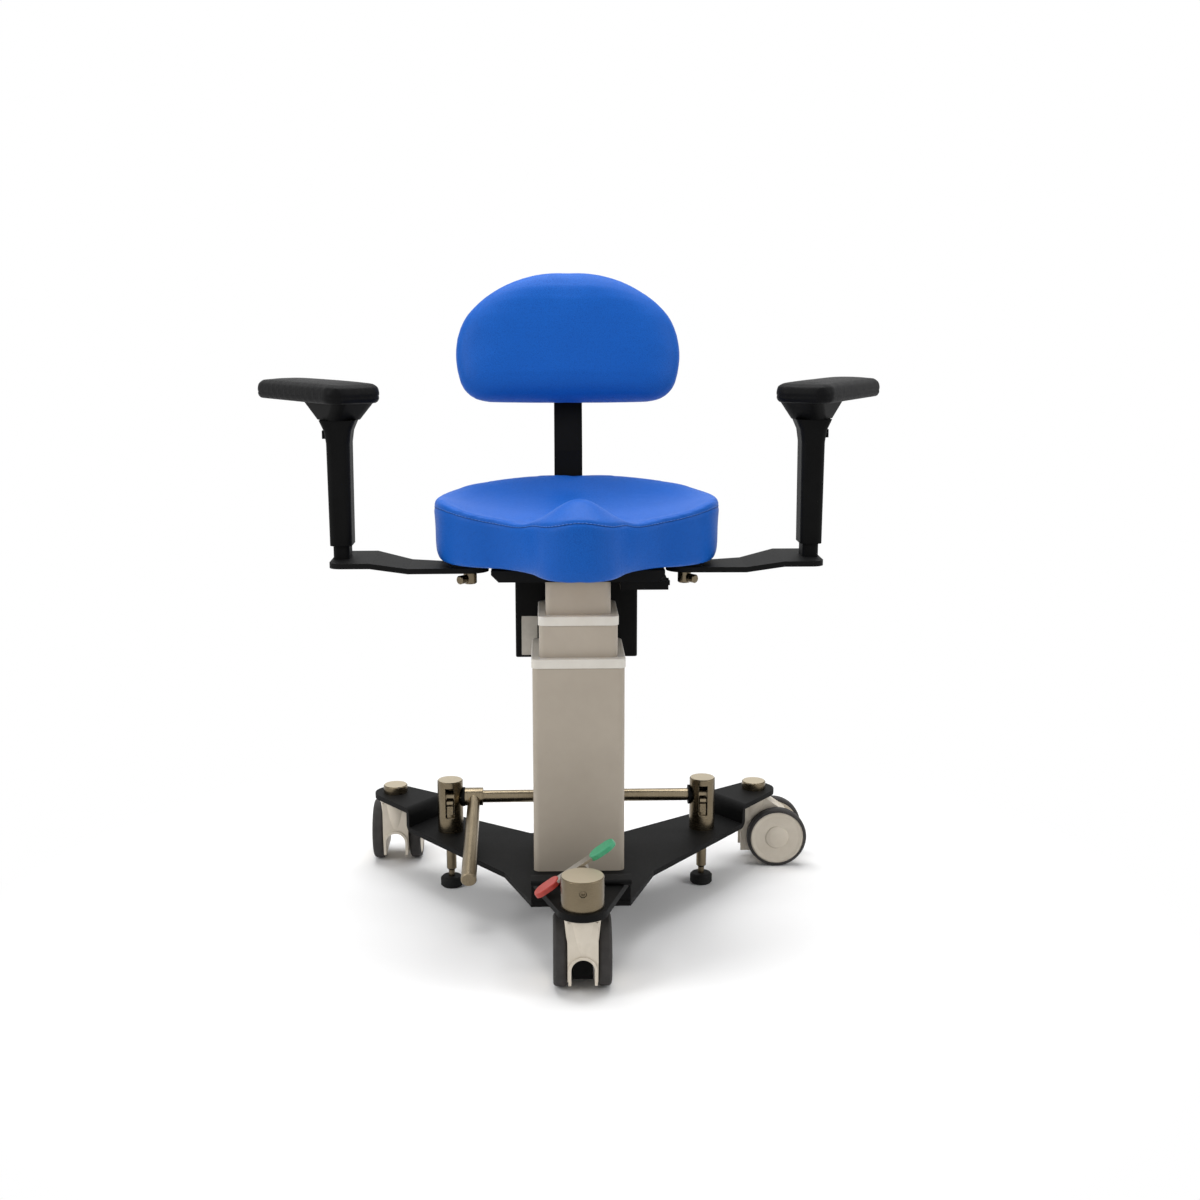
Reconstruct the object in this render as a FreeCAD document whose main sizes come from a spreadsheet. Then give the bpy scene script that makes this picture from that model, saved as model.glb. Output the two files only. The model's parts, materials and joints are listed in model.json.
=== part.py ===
import FreeCAD, Part
import Sketcher
import math
import os
import re
from types import SimpleNamespace

Vector = FreeCAD.Vector
Rotation = FreeCAD.Rotation

# Driving dimensions of the chair, in millimetres and degrees
sizes = {
    # clearances
    "running_gap": 0.05,
    "clear_gap": 0.3,
    "slide_gap": 0.4,
    # casters
    "wheel_radius": 50,
    "tyre_ring": 5.5,
    "tyre_width": 19,
    "tyre_shoulder": 5,
    "wheel_spacing": 43,
    "hub_cap_radius": 18,
    "disc_dish": 4,
    "axle_radius": 6,
    "axle_grip": 14,
    "caster_trail": 36,
    "hood_width": 42,
    "hood_front": 21,
    "hood_low": 22,
    "hood_shoulder": 88,
    "hood_throat": 66,
    "hood_collar_radius": 27,
    "hood_rear": 38,
    "arch_width": 32,
    "arch_height": 59,
    "arch_rim": 4,
    "arch_rim_proud": 2,
    "wheel_gap": 1,
    "stem_radius": 8,
    "stem_reach": 30,
    "lock_block_length": 44,
    "lock_block_drop": 44,
    # base
    "caster_top": 118,
    "plate_thickness": 8,
    "main_underside": 87,
    "front_reach": 290,
    "rear_reach": 225,
    "rear_half_track": 303,
    "arm_end_radius": 34,
    "nose_radius": 36,
    "front_half_width": 71,
    "front_step": 98,
    "kink_x": 112,
    "kink_y": 77,
    "rear_corner_x": 75,
    "rear_edge": 98,
    "riser_distance": 296.5,
    "strip_start": 200,
    "bend_radius": 12,
    "tongue_reach": 27,
    "tongue_nose": 3.5,
    "arm_plate_thickness": 10,
    "socket_radius": 30,
    "socket_height": 44,
    "set_screw_radius": 5,
    "set_screw_depth": 8,
    "set_screw_drop": 16,
    "cap_radius": 20,
    "cap_height": 13,
    "cap_edge": 1.5,
    # lock pedal
    "pedal_offset": 40,
    "pedal_height": 36,
    "pedal_shaft_radius": 5,
    "pedal_tilt": 35,
    "pedal_width": 18,
    "pedal_thickness": 4,
    "pedal_red_reach": 70,
    "pedal_green_reach": 57,
    "pedal_pad_length": 40,
    "pedal_pad_width": 30,
    "pedal_pad_thickness": 7,
    "pedal_pad_corner": 14,
    "pedal_pad_edge": 1.5,
    "pedal_pad_end": 3,
    # floor brake
    "brake_x": 204,
    "brake_y": 118,
    "housing_radius": 20.5,
    "housing_bore": 17,
    "housing_height": 85,
    "housing_top_wall": 6,
    "slot_width": 14,
    "slot_height": 50,
    "slot_drop": 10,
    "rod_height": 56,
    "rod_radius": 10,
    "rod_end_margin": 4,
    "bush_radius": 12,
    "bush_flange_radius": 15.5,
    "bush_flange": 3,
    "lever_hub_radius": 14.5,
    "lever_hub_width": 29,
    "lever_length": 211,
    "lever_droop": 18,
    "lever_root_radius": 10,
    "lever_tip_radius": 12,
    "crank_reach": 15,
    "crank_nose_radius": 5,
    "crank_width": 10,
    "crank_droop": 25,
    "plunger_radius": 8,
    "plunger_head": 14,
    "plunger_stroke": 12,
    "plunger_room": 3,
    "finger_inset": 0.6,
    "finger_root": 1,
    "neck_radius": 5,
    "neck_height": 12,
    "foot_radius": 18,
    "foot_height": 17,
    "foot_edge": 3,
    # lift column
    "outer_width": 136,
    "outer_depth": 147,
    "stage_step": 10,
    "tube_wall": 4,
    "tube_corner": 9,
    "outer_top": 408,
    "middle_bottom": 170,
    "middle_top": 470,
    "inner_bottom": 210,
    "collar_height": 14,
    "collar_lip": 1.5,
    "collar_edge": 2,
    "nut_thickness": 8,
    "motor_width": 100,
    "motor_depth": 90,
    "motor_height": 27,
    "spindle_radius": 7,
    "spindle_length": 318,
    # seat frame
    "carrier_bottom": 534,
    "carrier_height": 17,
    "carrier_half_width": 127,
    "carrier_front": 60,
    "carrier_depth": 195,
    "carrier_chamfer": 11,
    "wing_half_width": 182,
    "wing_front": 30,
    "wing_depth": 140,
    "wing_thickness": 5,
    "switch_x": 62,
    "switch_width": 70,
    "switch_depth": 70,
    "switch_height": 12,
    "rocker_depth": 26,
    "rocker_height": 7,
    "rocker_proud": 4,
    "rocker_sunk": 8,
    "rocker_tip": 1.2,
    "box_width": 190,
    "box_depth": 78,
    "box_height": 136,
    "box_corner": 4,
    "box_gap": 5,
    "box_wall": 3,
    "battery_width": 150,
    "battery_depth": 60,
    "battery_height": 70,
    # seat
    "seat_half_width": 212,
    "seat_rear": 194,
    "seat_nose": 204,
    "seat_height": 110,
    "nose_half_width": 62,
    "nose_side": 152,
    "flank_x": 130,
    "flank_y": 75,
    "widest_y": 10,
    "hip_x": 172,
    "hip_y": 148,
    "base_inset": 9,
    "bowl_height": 66,
    "side_rise": 28,
    "rear_rise": 49,
    "front_drop": 5,
    "pommel_rise": 52,
    "pommel_y": 140,
    "pommel_front_spread": 74,
    "pommel_rear_spread": 45,
    "pommel_side_spread": 58,
    "pan_thickness": 8,
    "pan_half_width": 150,
    "pan_rear": 130,
    "pan_front": 15,
    "pan_nose": 165,
    "pan_nose_half_width": 44,
    "pan_corner": 24,
    # backrest
    "bar_width": 45,
    "bar_thickness": 8,
    "bar_stand": 205,
    "bar_foot": 75,
    "bar_bend": 176,
    "bar_top": 218,
    "bar_bend_radius": 14,
    "back_lean": 12,
    "bracket_rise": 175,
    "bracket_height": 70,
    "bracket_wall": 7,
    "knob_radius": 20,
    "knob_length": 20,
    "knob_stud": 4,
    "board_thickness": 8,
    "board_inset": 40,
    "back_offset": 10,
    "back_half_width": 180,
    "back_rise": 104,
    "back_fall": 107,
    "back_depth": 52,
    "back_crown": 12,
    # armrests
    "pivot_x": 160,
    "pivot_y": 5,
    "pivot_stud_radius": 6,
    "collar_pin_radius": 10,
    "collar_pin_height": 19,
    "clamp_screw_radius": 6.5,
    "clamp_screw_length": 14,
    "clamp_screw_turn": 40,
    "arm_end_x": 366,
    "arm_end_corner": 18,
    "arm_inner_bend": 250,
    "arm_outer_bend": 306,
    "arm_joggle": 8,
    "arm_front": 35,
    "arm_rear": 90,
    "arm_root_radius": 28,
    "post_x": 352,
    "post_y": 30,
    "post_width": 24,
    "post_depth": 42,
    "post_height": 142,
    "post_corner": 6,
    "sleeve_lift": 20,
    "sleeve_height": 186,
    "sleeve_low_width": 33,
    "sleeve_width": 35,
    "sleeve_neck_width": 40,
    "sleeve_flare_width": 54,
    "sleeve_depth": 52,
    "sleeve_neck_depth": 54,
    "sleeve_flare_depth": 57,
    "sleeve_corner": 9,
    "sleeve_cap": 12,
    "button_drop": 22,
    "button_length": 14,
    "button_height": 12,
    "button_proud": 5,
    "button_sunk": 9,
    "support_height": 30,
    "support_length": 118,
    "support_width": 68,
    "support_corner": 18,
    "support_root_width": 54,
    "support_root_length": 56,
    "support_root_corner": 16,
    "support_brim": 3,
    "pad_length": 250,
    "pad_width": 90,
    "pad_thickness": 25,
    "pad_corner": 24,
    "pad_draw": 5,
    "left_pad_toe": 36,
    "right_pad_toe": 30,
    "pad_back_shift": 45,
    "pad_out_shift": 11,
}

doc = FreeCAD.newDocument("OperatorChair")
sheet = doc.addObject("Spreadsheet::Sheet", "Sizes")
for row, (alias, value) in enumerate(sizes.items(), start=1):
    sheet.set(f"A{row}", alias)
    sheet.set(f"B{row}", str(value))
    sheet.setAlias(f"B{row}", alias)
doc.recompute()
d = SimpleNamespace(**{alias: float(sheet.get(alias)) for alias in sizes})

# Place of the column axis that centres the chair's box on the origin
front_end = d.front_reach + d.nose_radius
rear_end = d.rear_reach + d.caster_trail + d.wheel_radius
column_y = (front_end - rear_end) / 2


def pad_reach(toe):
    # How far an arm pad's rounded rear corner stands out from the column axis
    turn = math.radians(toe)
    along = d.pad_back_shift + d.pad_length / 2 - d.pad_corner
    across = d.pad_out_shift + d.pad_width / 2 - d.pad_corner
    return d.post_x + along * math.sin(turn) + across * math.cos(turn) + d.pad_corner


column_x = (pad_reach(d.left_pad_toe) - pad_reach(d.right_pad_toe)) / 2
column = Vector(column_x, column_y, 0)

nodes = []


def bound(text):
    # Expression in which every size is read from the sheet
    return re.sub(r"[a-z]\w*", lambda word: "Sizes." + word.group(), text)


def put(obj, x=0, y=0, z=0, rotation=None):
    # Place measured from the foot of the column axis
    obj.Placement = FreeCAD.Placement(Vector(x, y, z), rotation or Rotation())
    return obj


def node(obj, label):
    obj.Label = label
    nodes.append(obj)
    return obj


def about_z(angle):
    return Rotation(Vector(0, 0, 1), angle)


def sketch_on(body, plane, name):
    sketch = body.newObject("Sketcher::SketchObject", name)
    support = [feature for feature in body.Origin.OriginFeatures if feature.Role == plane][0]
    sketch.AttachmentSupport = [(support, "")]
    sketch.MapMode = "FlatFace"
    return sketch


def polygon(sketch, outline):
    # Closed outline whose corners are tied to the sheet
    count = len(outline)
    turns = [2 * math.pi * index / count for index in range(count)]
    ring = [Vector(math.cos(turn), math.sin(turn), 0) for turn in turns]
    for index in range(count):
        sketch.addGeometry(Part.LineSegment(ring[index], ring[(index + 1) % count]), False)
    for index in range(count):
        sketch.addConstraint(Sketcher.Constraint("Coincident", index, 2, (index + 1) % count, 1))
    for index, corner in enumerate(outline):
        for kind, text, start in zip(("DistanceX", "DistanceY"), corner, ring[index]):
            tie = sketch.addConstraint(Sketcher.Constraint(kind, -1, 1, index, 1, start))
            sketch.setExpression(f"Constraints[{tie}]", bound(text))


def prism(name, outline, length):
    # Outline in the local XY plane, padded along local Z
    body = doc.addObject("PartDesign::Body", name)
    sketch = sketch_on(body, "XY_Plane", name + "_outline")
    polygon(sketch, outline)
    pad = body.newObject("PartDesign::Pad", name + "_pad")
    pad.Profile = sketch
    pad.setExpression("Length", bound(length))
    doc.recompute()
    return body


def turned(name, outline):
    # Outline of radius and height, turned about local Z
    body = doc.addObject("PartDesign::Body", name)
    sketch = sketch_on(body, "XZ_Plane", name + "_outline")
    polygon(sketch, outline)
    revolution = body.newObject("PartDesign::Revolution", name + "_turn")
    revolution.Profile = sketch
    revolution.ReferenceAxis = (sketch, ["V_Axis"])
    revolution.Angle = 360
    doc.recompute()
    return body


def edge_run(edge):
    return edge.Vertexes[-1].Point - edge.Vertexes[0].Point


def upright(edge):
    run = edge_run(edge)
    return abs(run.z) > 0.9 * edge.Length and edge.Length > 0


def fillet(body, radius, chosen):
    # Rounds the chosen edges of a body
    tip = body.Tip
    names = [f"Edge{index}" for index, edge in enumerate(tip.Shape.Edges, start=1) if chosen(edge)]
    feature = body.newObject("PartDesign::Fillet", body.Name + "_round")
    feature.Base = (tip, names)
    feature.setExpression("Radius", bound(radius))
    doc.recompute()
    return body


def rectangle(width, depth):
    half_width = f"({width}) / 2"
    half_depth = f"({depth}) / 2"
    return [
        (f"-{half_width}", f"-{half_depth}"),
        (half_width, f"-{half_depth}"),
        (half_width, half_depth),
        (f"-{half_width}", half_depth),
    ]


def rounded_block(name, width, depth, height, corner):
    # Upright block centred on local Z, standing on the local XY plane
    block = prism(name, rectangle(width, depth), height)
    return fillet(block, corner, upright)


def at_height(height):
    # Chooses the edges that lie level at a local height
    return lambda edge: all(abs(vertex.Z - height) < 0.001 for vertex in edge.Vertexes)


def box(name, length, width, height, corner):
    block = doc.addObject("Part::Box", name)
    block.setExpression("Length", bound(length))
    block.setExpression("Width", bound(width))
    block.setExpression("Height", bound(height))
    block.Placement.Base = Vector(*corner)
    return block


def rod(name, radius, length, start, direction=(0, 0, 1)):
    cylinder = doc.addObject("Part::Cylinder", name)
    cylinder.setExpression("Radius", bound(radius))
    cylinder.setExpression("Height", bound(length))
    cylinder.Placement = FreeCAD.Placement(Vector(*start), Rotation(Vector(0, 0, 1), Vector(*direction)))
    return cylinder


def combine(kind, name, members):
    result = doc.addObject("Part::Multi" + kind, name)
    result.Shapes = members
    doc.recompute()
    return result


def fuse(name, *members):
    return combine("Fuse", name, list(members))


def common(name, *members):
    return combine("Common", name, list(members))


def cut(name, base, *tools):
    result = base
    for index, tool in enumerate(tools, start=1):
        step = doc.addObject("Part::Cut", name if index == len(tools) else f"{name}_step{index}")
        step.Base = result
        step.Tool = tool
        result = step
    doc.recompute()
    return result


def group(name, *members):
    compound = doc.addObject("Part::Compound", name)
    compound.Links = list(members)
    doc.recompute()
    return compound


def tangent_point(start, centre, radius, side):
    # Where a line from start touches a circle, on its left (1) or right (-1)
    across = centre - start
    turn = math.atan2(across.y, across.x) + side * math.asin(radius / across.Length)
    reach = math.sqrt(across.Length ** 2 - radius ** 2)
    return start + Vector(math.cos(turn), math.sin(turn), 0) * reach


def numbers(points):
    return [(repr(point.x), repr(point.y)) for point in points]


def mirrored(points):
    return [Vector(-point.x, point.y, point.z) for point in reversed(points)]


# Heights that several pieces share
main_top = d.main_underside + d.plate_thickness
shelf_top = d.caster_top + d.plate_thickness
arm_plate_top = d.caster_top + d.arm_plate_thickness
socket_top = arm_plate_top + d.socket_height
front_edge = d.front_reach - d.front_step


def base_plate():
    # One bent plate: low middle, two joggled rear arms, and a riser with a tongue at the front
    caster = Vector(d.rear_half_track, d.rear_reach, 0)
    front_corner = Vector(d.front_half_width, -front_edge, 0)
    kink = Vector(d.kink_x, -d.kink_y, 0)
    rear_corner = Vector(d.rear_corner_x, d.rear_edge, 0)
    front_touch = tangent_point(kink, caster, d.arm_end_radius, -1)
    rear_touch = tangent_point(rear_corner, caster, d.arm_end_radius, 1)
    half = [front_corner, kink, front_touch, rear_touch, rear_corner]
    outline = numbers(half + mirrored(half))
    full_height = "caster_top + plate_thickness - main_underside"
    plan = put(prism("base_plan", outline, full_height), 0, 0, d.main_underside)
    ends = []
    strips = []
    trims = []
    arm_angle = math.degrees(math.atan2(caster.y, caster.x))
    for side in (-1, 1):
        place = (side * d.rear_half_track, d.rear_reach, d.main_underside)
        ends.append(rod(f"base_end{side}", "arm_end_radius", full_height, place))
        bent = [
            ("strip_start", "0"),
            ("riser_distance + plate_thickness", "0"),
            ("riser_distance + plate_thickness", "caster_top - main_underside"),
            ("2 * riser_distance", "caster_top - main_underside"),
            ("2 * riser_distance", full_height),
            ("riser_distance", full_height),
            ("riser_distance", "plate_thickness"),
            ("strip_start", "plate_thickness"),
        ]
        strip = prism(f"base_strip{side}", bent, "2 * rear_half_track")
        bends = (d.riser_distance, d.riser_distance + d.plate_thickness)
        fillet(strip, "bend_radius", lambda edge: upright(edge) and bend_corner(edge, bends, True))
        heading = arm_angle if side > 0 else 180 - arm_angle
        tilt = about_z(heading) * Rotation(Vector(1, 0, 0), 90)
        across = about_z(heading).multVec(Vector(0, d.rear_half_track, 0))
        strips.append(put(strip, across.x, across.y, d.main_underside, tilt))
        trim = box(f"base_trim{side}", "riser_distance * 2", "rear_half_track * 2", full_height, (0, 0, 0))
        past = about_z(heading).multVec(Vector(d.strip_start + d.bend_radius, -d.rear_half_track, 0))
        trims.append(put(trim, past.x, past.y, d.main_underside, about_z(heading)))
    low = put(prism("base_low", outline, "plate_thickness"), 0, 0, d.main_underside)
    middle = cut("base_middle", low, *trims)
    full = fuse("base_full", plan, *ends)
    arms = [common(f"base_arm{index}", full, strip) for index, strip in enumerate(strips)]
    edge_y = "front_step - front_reach"
    rise = "caster_top + arm_plate_thickness - main_underside"
    front = [
        (f"{edge_y} + 6 * bend_radius", "0"),
        (edge_y, "0"),
        (edge_y, rise),
        (f"{edge_y} - tongue_reach", rise),
        (f"{edge_y} - tongue_reach", f"{rise} + plate_thickness"),
        (f"{edge_y} + plate_thickness", f"{rise} + plate_thickness"),
        (f"{edge_y} + plate_thickness", "plate_thickness"),
        (f"{edge_y} + 6 * bend_radius", "plate_thickness"),
    ]
    tongue = prism("base_tongue", front, "2 * front_half_width")
    bends = (-front_edge, -front_edge + d.plate_thickness)
    fillet(tongue, "bend_radius", lambda edge: upright(edge) and bend_corner(edge, bends, False))
    tongue_end = -front_edge - d.tongue_reach
    fillet(tongue, "tongue_nose", lambda edge: upright(edge) and abs(edge.Vertexes[0].X - tongue_end) < 0.001)
    quarter = Rotation(Vector(0, 0, 1), 90) * Rotation(Vector(1, 0, 0), 90)
    put(tongue, -d.front_half_width, 0, d.main_underside, quarter)
    whole = fuse("base_whole", middle, tongue, *arms)
    holes = []
    for side in (-1, 1):
        stem = (side * d.rear_half_track, d.rear_reach, d.main_underside)
        holes.append(rod(f"stem_hole{side}", "stem_radius + running_gap", full_height, stem))
        plunger = (side * d.brake_x, d.brake_y, d.main_underside)
        holes.append(rod(f"plunger_hole{side}", "plunger_radius + running_gap", full_height, plunger))
    node(cut("base_plate", whole, *holes), "base_plate")


def bend_corner(edge, bends, rising):
    # Convex corners of a joggled strip: the low outer one and the high inner one
    corner = edge.Vertexes[0]
    low = bends[1] if rising else bends[0]
    high = bends[0] if rising else bends[1]
    at_low = abs(corner.X - low) < 0.001 and abs(corner.Y) < 0.001
    at_high = abs(corner.X - high) < 0.001 and corner.Y > 2 * d.plate_thickness
    return at_low or at_high


def front_arm():
    # Trapezoid plate under the tongue, round at the front caster
    caster = Vector(0, -d.front_reach, 0)
    root = Vector(d.front_half_width - d.tongue_nose, -front_edge - d.bend_radius / 3, 0)
    touch = tangent_point(root, caster, d.nose_radius, 1)
    half = [touch, root]
    plan = put(prism("front_plan", numbers(half + mirrored(half)), "arm_plate_thickness"), 0, 0, d.caster_top)
    place = (0, -d.front_reach, d.caster_top)
    nose = rod("front_nose", "nose_radius", "arm_plate_thickness", place)
    hole = rod("front_hole", "stem_radius + running_gap", "arm_plate_thickness", place)
    whole = fuse("front_whole", plan, nose)
    node(cut("front_arm_plate", whole, hole), "front_arm_plate")


def stem_profile(head_radius, head_height, plate):
    # Head above its plate with a stem through the plate into the caster
    return [
        ("0", f"-({plate}) - stem_reach"),
        ("stem_radius", f"-({plate}) - stem_reach"),
        ("stem_radius", "0"),
        (head_radius, "0"),
        (head_radius, f"{head_height} - cap_edge"),
        (f"{head_radius} - cap_edge", head_height),
        ("0", head_height),
    ]


def caster_stems():
    socket = turned("socket_blank", stem_profile("socket_radius", "socket_height", "arm_plate_thickness"))
    put(socket, 0, -d.front_reach, arm_plate_top)
    bore_start = (0, -d.front_reach, arm_plate_top + d.pedal_height)
    bore = rod("pedal_bore", "pedal_shaft_radius + running_gap", "socket_radius", bore_start, (0, 1, 0))
    screw_start = (0, -d.front_reach - d.socket_radius, socket_top - d.set_screw_drop)
    screw_hole = rod("set_screw_hole", "set_screw_radius", "set_screw_depth", screw_start, (0, 1, 0))
    node(cut("front_stem_socket", socket, bore, screw_hole), "front_stem_socket")
    caps = []
    for side in (-1, 1):
        cap = turned(f"rear_cap{side}", stem_profile("cap_radius", "cap_height", "plate_thickness"))
        caps.append(put(cap, side * d.rear_half_track, d.rear_reach, shelf_top))
    node(group("rear_caster_bolts", *caps), "rear_caster_bolts")


def caster_hood(name):
    # Hood between the twin wheels: round tapered front, rimmed arch below and a bore for the stem
    side_view = [
        ("-hood_front", "hood_shoulder + 2 * clear_gap"),
        ("-hood_front", "wheel_radius + axle_radius"),
        ("axle_radius - hood_front", "hood_low"),
        ("caster_trail + hood_rear / 2", "hood_low"),
        ("caster_trail + hood_rear", "wheel_radius"),
        ("caster_trail + hood_rear / 2", "hood_shoulder"),
        ("hood_front", "caster_top - clear_gap - axle_radius"),
        ("-hood_front", "caster_top - clear_gap - axle_radius"),
    ]
    shell = prism(name + "_side", side_view, "hood_width")
    fillet(shell, "axle_radius", lambda edge: upright(edge) and edge.Vertexes[0].Y < d.hood_shoulder + 0.001)
    shell.Placement = FreeCAD.Placement(
        Vector(-d.hood_width / 2, 0, 0), Rotation(Vector(0, 0, 1), 90) * Rotation(Vector(1, 0, 0), 90)
    )
    collar = turned(name + "_collar", [
        ("0", "hood_throat"),
        ("hood_width / 2", "hood_throat"),
        ("hood_collar_radius - cap_edge", "caster_top - axle_radius"),
        ("hood_collar_radius", "caster_top - axle_radius"),
        ("hood_collar_radius", "caster_top - clear_gap"),
        ("0", "caster_top - clear_gap"),
    ])
    reach = "caster_trail + hood_rear + hood_front + arch_rim_proud"
    arch_top = d.arch_height - d.arch_width / 2
    rim_start = -d.hood_front - d.arch_rim_proud
    rim_half = d.arch_width / 2 + d.arch_rim
    rim_place = (0, rim_start, arch_top)
    rim_round = rod(name + "_rim_round", "arch_width / 2 + arch_rim", "hood_front", rim_place, (0, 1, 0))
    rim_corner = (-rim_half, rim_start, d.hood_low)
    rim_leg = "arch_height - arch_width / 2 - hood_low"
    rim_low = box(name + "_rim_low", "arch_width + 2 * arch_rim", "hood_front", rim_leg, rim_corner)
    arch_corner = (-d.arch_width / 2, rim_start, 0)
    arch_low = box(name + "_arch", "arch_width", reach, "arch_height - arch_width / 2", arch_corner)
    arch_round = rod(name + "_arch_round", "arch_width / 2", reach, (0, rim_start, arch_top), (0, 1, 0))
    wheel_room = []
    for side in (-1, 1):
        room_start = (side * (d.wheel_spacing / 2 - d.wheel_gap / 2), d.caster_trail, d.wheel_radius)
        room_name = f"{name}_room{side}"
        wheel_room.append(rod(room_name, "wheel_radius + wheel_gap", "wheel_radius", room_start, (side, 0, 0)))
    bore_low = d.caster_top - d.stem_reach - d.clear_gap
    bore = rod(name + "_bore", "stem_radius + running_gap", "stem_reach + clear_gap", (0, 0, bore_low))
    axle_start = (-d.hood_width / 2, d.caster_trail, d.wheel_radius)
    axle = rod(name + "_axle_bore", "axle_radius + running_gap", "hood_width", axle_start, (1, 0, 0))
    whole = fuse(name + "_whole", shell, collar, rim_round, rim_low)
    return cut(name, whole, arch_low, arch_round, bore, axle, *wheel_room)


def tread(edge):
    return edge.Closed and edge.Curve.Radius > d.wheel_radius - 0.001


def twin(name, outline, shoulder):
    # Two equal turned pieces, mirrored about the caster's middle plane
    start = d.wheel_spacing / 2
    pieces = []
    for side in (-1, 1):
        piece = turned(f"{name}{'_left' if side < 0 else '_right'}", outline)
        if shoulder:
            fillet(piece, shoulder, tread)
        heading = Rotation(Vector(0, 0, 1), Vector(side, 0, 0))
        piece.Placement = FreeCAD.Placement(Vector(side * start, d.caster_trail, d.wheel_radius), heading)
        pieces.append(piece)
    return group(name, *pieces)


def caster(name, x, y, heading, locked):
    place = (x, y, 0, about_z(heading))
    node(put(caster_hood(name + "_hood"), *place), name + "_hood")
    tyre = [
        ("wheel_radius - tyre_ring", "0"),
        ("wheel_radius", "0"),
        ("wheel_radius", "tyre_width"),
        ("wheel_radius - tyre_ring", "tyre_width"),
    ]
    node(put(twin(name + "_tyres", tyre, "tyre_shoulder"), *place), name + "_tyres")
    disc = [
        ("0", "axle_grip + clear_gap"),
        ("0", "tyre_width - cap_edge / 2"),
        ("hub_cap_radius * 0.7", "tyre_width - cap_edge"),
        ("hub_cap_radius", "tyre_width - disc_dish + cap_edge"),
        ("hub_cap_radius + cap_edge", "tyre_width - disc_dish"),
        ("wheel_radius - tyre_ring - 2 * disc_dish", "tyre_width - disc_dish + cap_edge"),
        ("wheel_radius - tyre_ring - disc_dish / 2", "tyre_width - cap_edge / 2"),
        ("wheel_radius - tyre_ring - running_gap", "tyre_width - cap_edge"),
        ("wheel_radius - tyre_ring - running_gap", "0"),
        ("axle_radius + running_gap", "0"),
        ("axle_radius + running_gap", "axle_grip + clear_gap"),
    ]
    node(put(twin(name + "_discs", disc, None), *place), name + "_discs")
    half_axle = d.wheel_spacing / 2 + d.axle_grip
    axle_start = (-half_axle, d.caster_trail, d.wheel_radius)
    axle = rod(name + "_axle_rod", "axle_radius", "wheel_spacing + 2 * axle_grip", axle_start, (1, 0, 0))
    if locked:
        half = d.arch_width / 2 - d.cap_edge
        round_z = d.arch_height - d.arch_width / 2
        front = d.caster_trail - d.lock_block_length / 2
        dome_start = (0, front, round_z)
        dome = rod(name + "_lock_dome", "arch_width / 2 - cap_edge", "lock_block_length", dome_start, (0, 1, 0))
        drop = "lock_block_drop - arch_width / 2"
        low_corner = (-half, front, round_z + d.arch_width / 2 - d.lock_block_drop)
        low_part = box(name + "_lock_low", "arch_width - 2 * cap_edge", "lock_block_length", drop, low_corner)
        node(put(fuse(name + "_lock", dome, low_part, axle), *place), name + "_lock_block")
    else:
        node(put(group(name + "_axle_group", axle), *place), name + "_axle")


def lock_pedal():
    # Rocker strip on a shaft behind the socket, red end low, green end high
    pivot_z = arm_plate_top + d.pedal_height
    pivot_y = d.pedal_offset - d.front_reach
    tilt = Rotation(Vector(0, 1, 0), -d.pedal_tilt)
    low = -d.pedal_width / 2
    strip_low = 2 * d.pedal_shaft_radius - d.pedal_thickness
    strip_corner = (-d.pedal_red_reach, low, strip_low)
    strip_length = "pedal_red_reach + pedal_green_reach"
    strip = box("pedal_bar", strip_length, "pedal_width", "pedal_thickness", strip_corner)
    hub = rod("pedal_hub", "pedal_shaft_radius * 2", "pedal_width", (0, low, 0), (0, 1, 0))
    shaft_start = (0, -d.pedal_offset, 0)
    shaft = rod("pedal_shaft", "pedal_shaft_radius", "pedal_offset - pedal_width / 2", shaft_start, (0, 1, 0))
    whole = fuse("pedal_strip", strip, hub, shaft)
    node(put(whole, 0, pivot_y, pivot_z, tilt), "pedal_strip")
    for colour, side, reach in (("red", -1, d.pedal_red_reach), ("green", 1, d.pedal_green_reach)):
        pad = rounded_block(
            f"pedal_{colour}_blank", "pedal_pad_length", "pedal_pad_width", "pedal_pad_thickness",
            "pedal_pad_corner",
        )
        fillet(pad, "pedal_pad_edge", at_height(d.pedal_pad_thickness))
        pad_low = strip_low + d.pedal_thickness / 2 - d.pedal_pad_thickness / 2
        pad.Placement.Base = Vector(side * (reach + d.pedal_pad_end - d.pedal_pad_length / 2), 0, pad_low)
        mouth_start = reach + d.running_gap - d.pedal_pad_length
        mouth_x = mouth_start if side > 0 else -mouth_start - d.pedal_pad_length
        mouth_corner = (mouth_x, low - d.running_gap, strip_low - d.running_gap)
        mouth = box(
            f"pedal_{colour}_mouth", "pedal_pad_length", "pedal_width + 2 * running_gap",
            "pedal_thickness + 2 * running_gap", mouth_corner,
        )
        node(put(cut(f"pedal_{colour}_pad", pad, mouth), 0, pivot_y, pivot_z, tilt), f"pedal_{colour}_pad")


rod_z = main_top + d.rod_height


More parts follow.
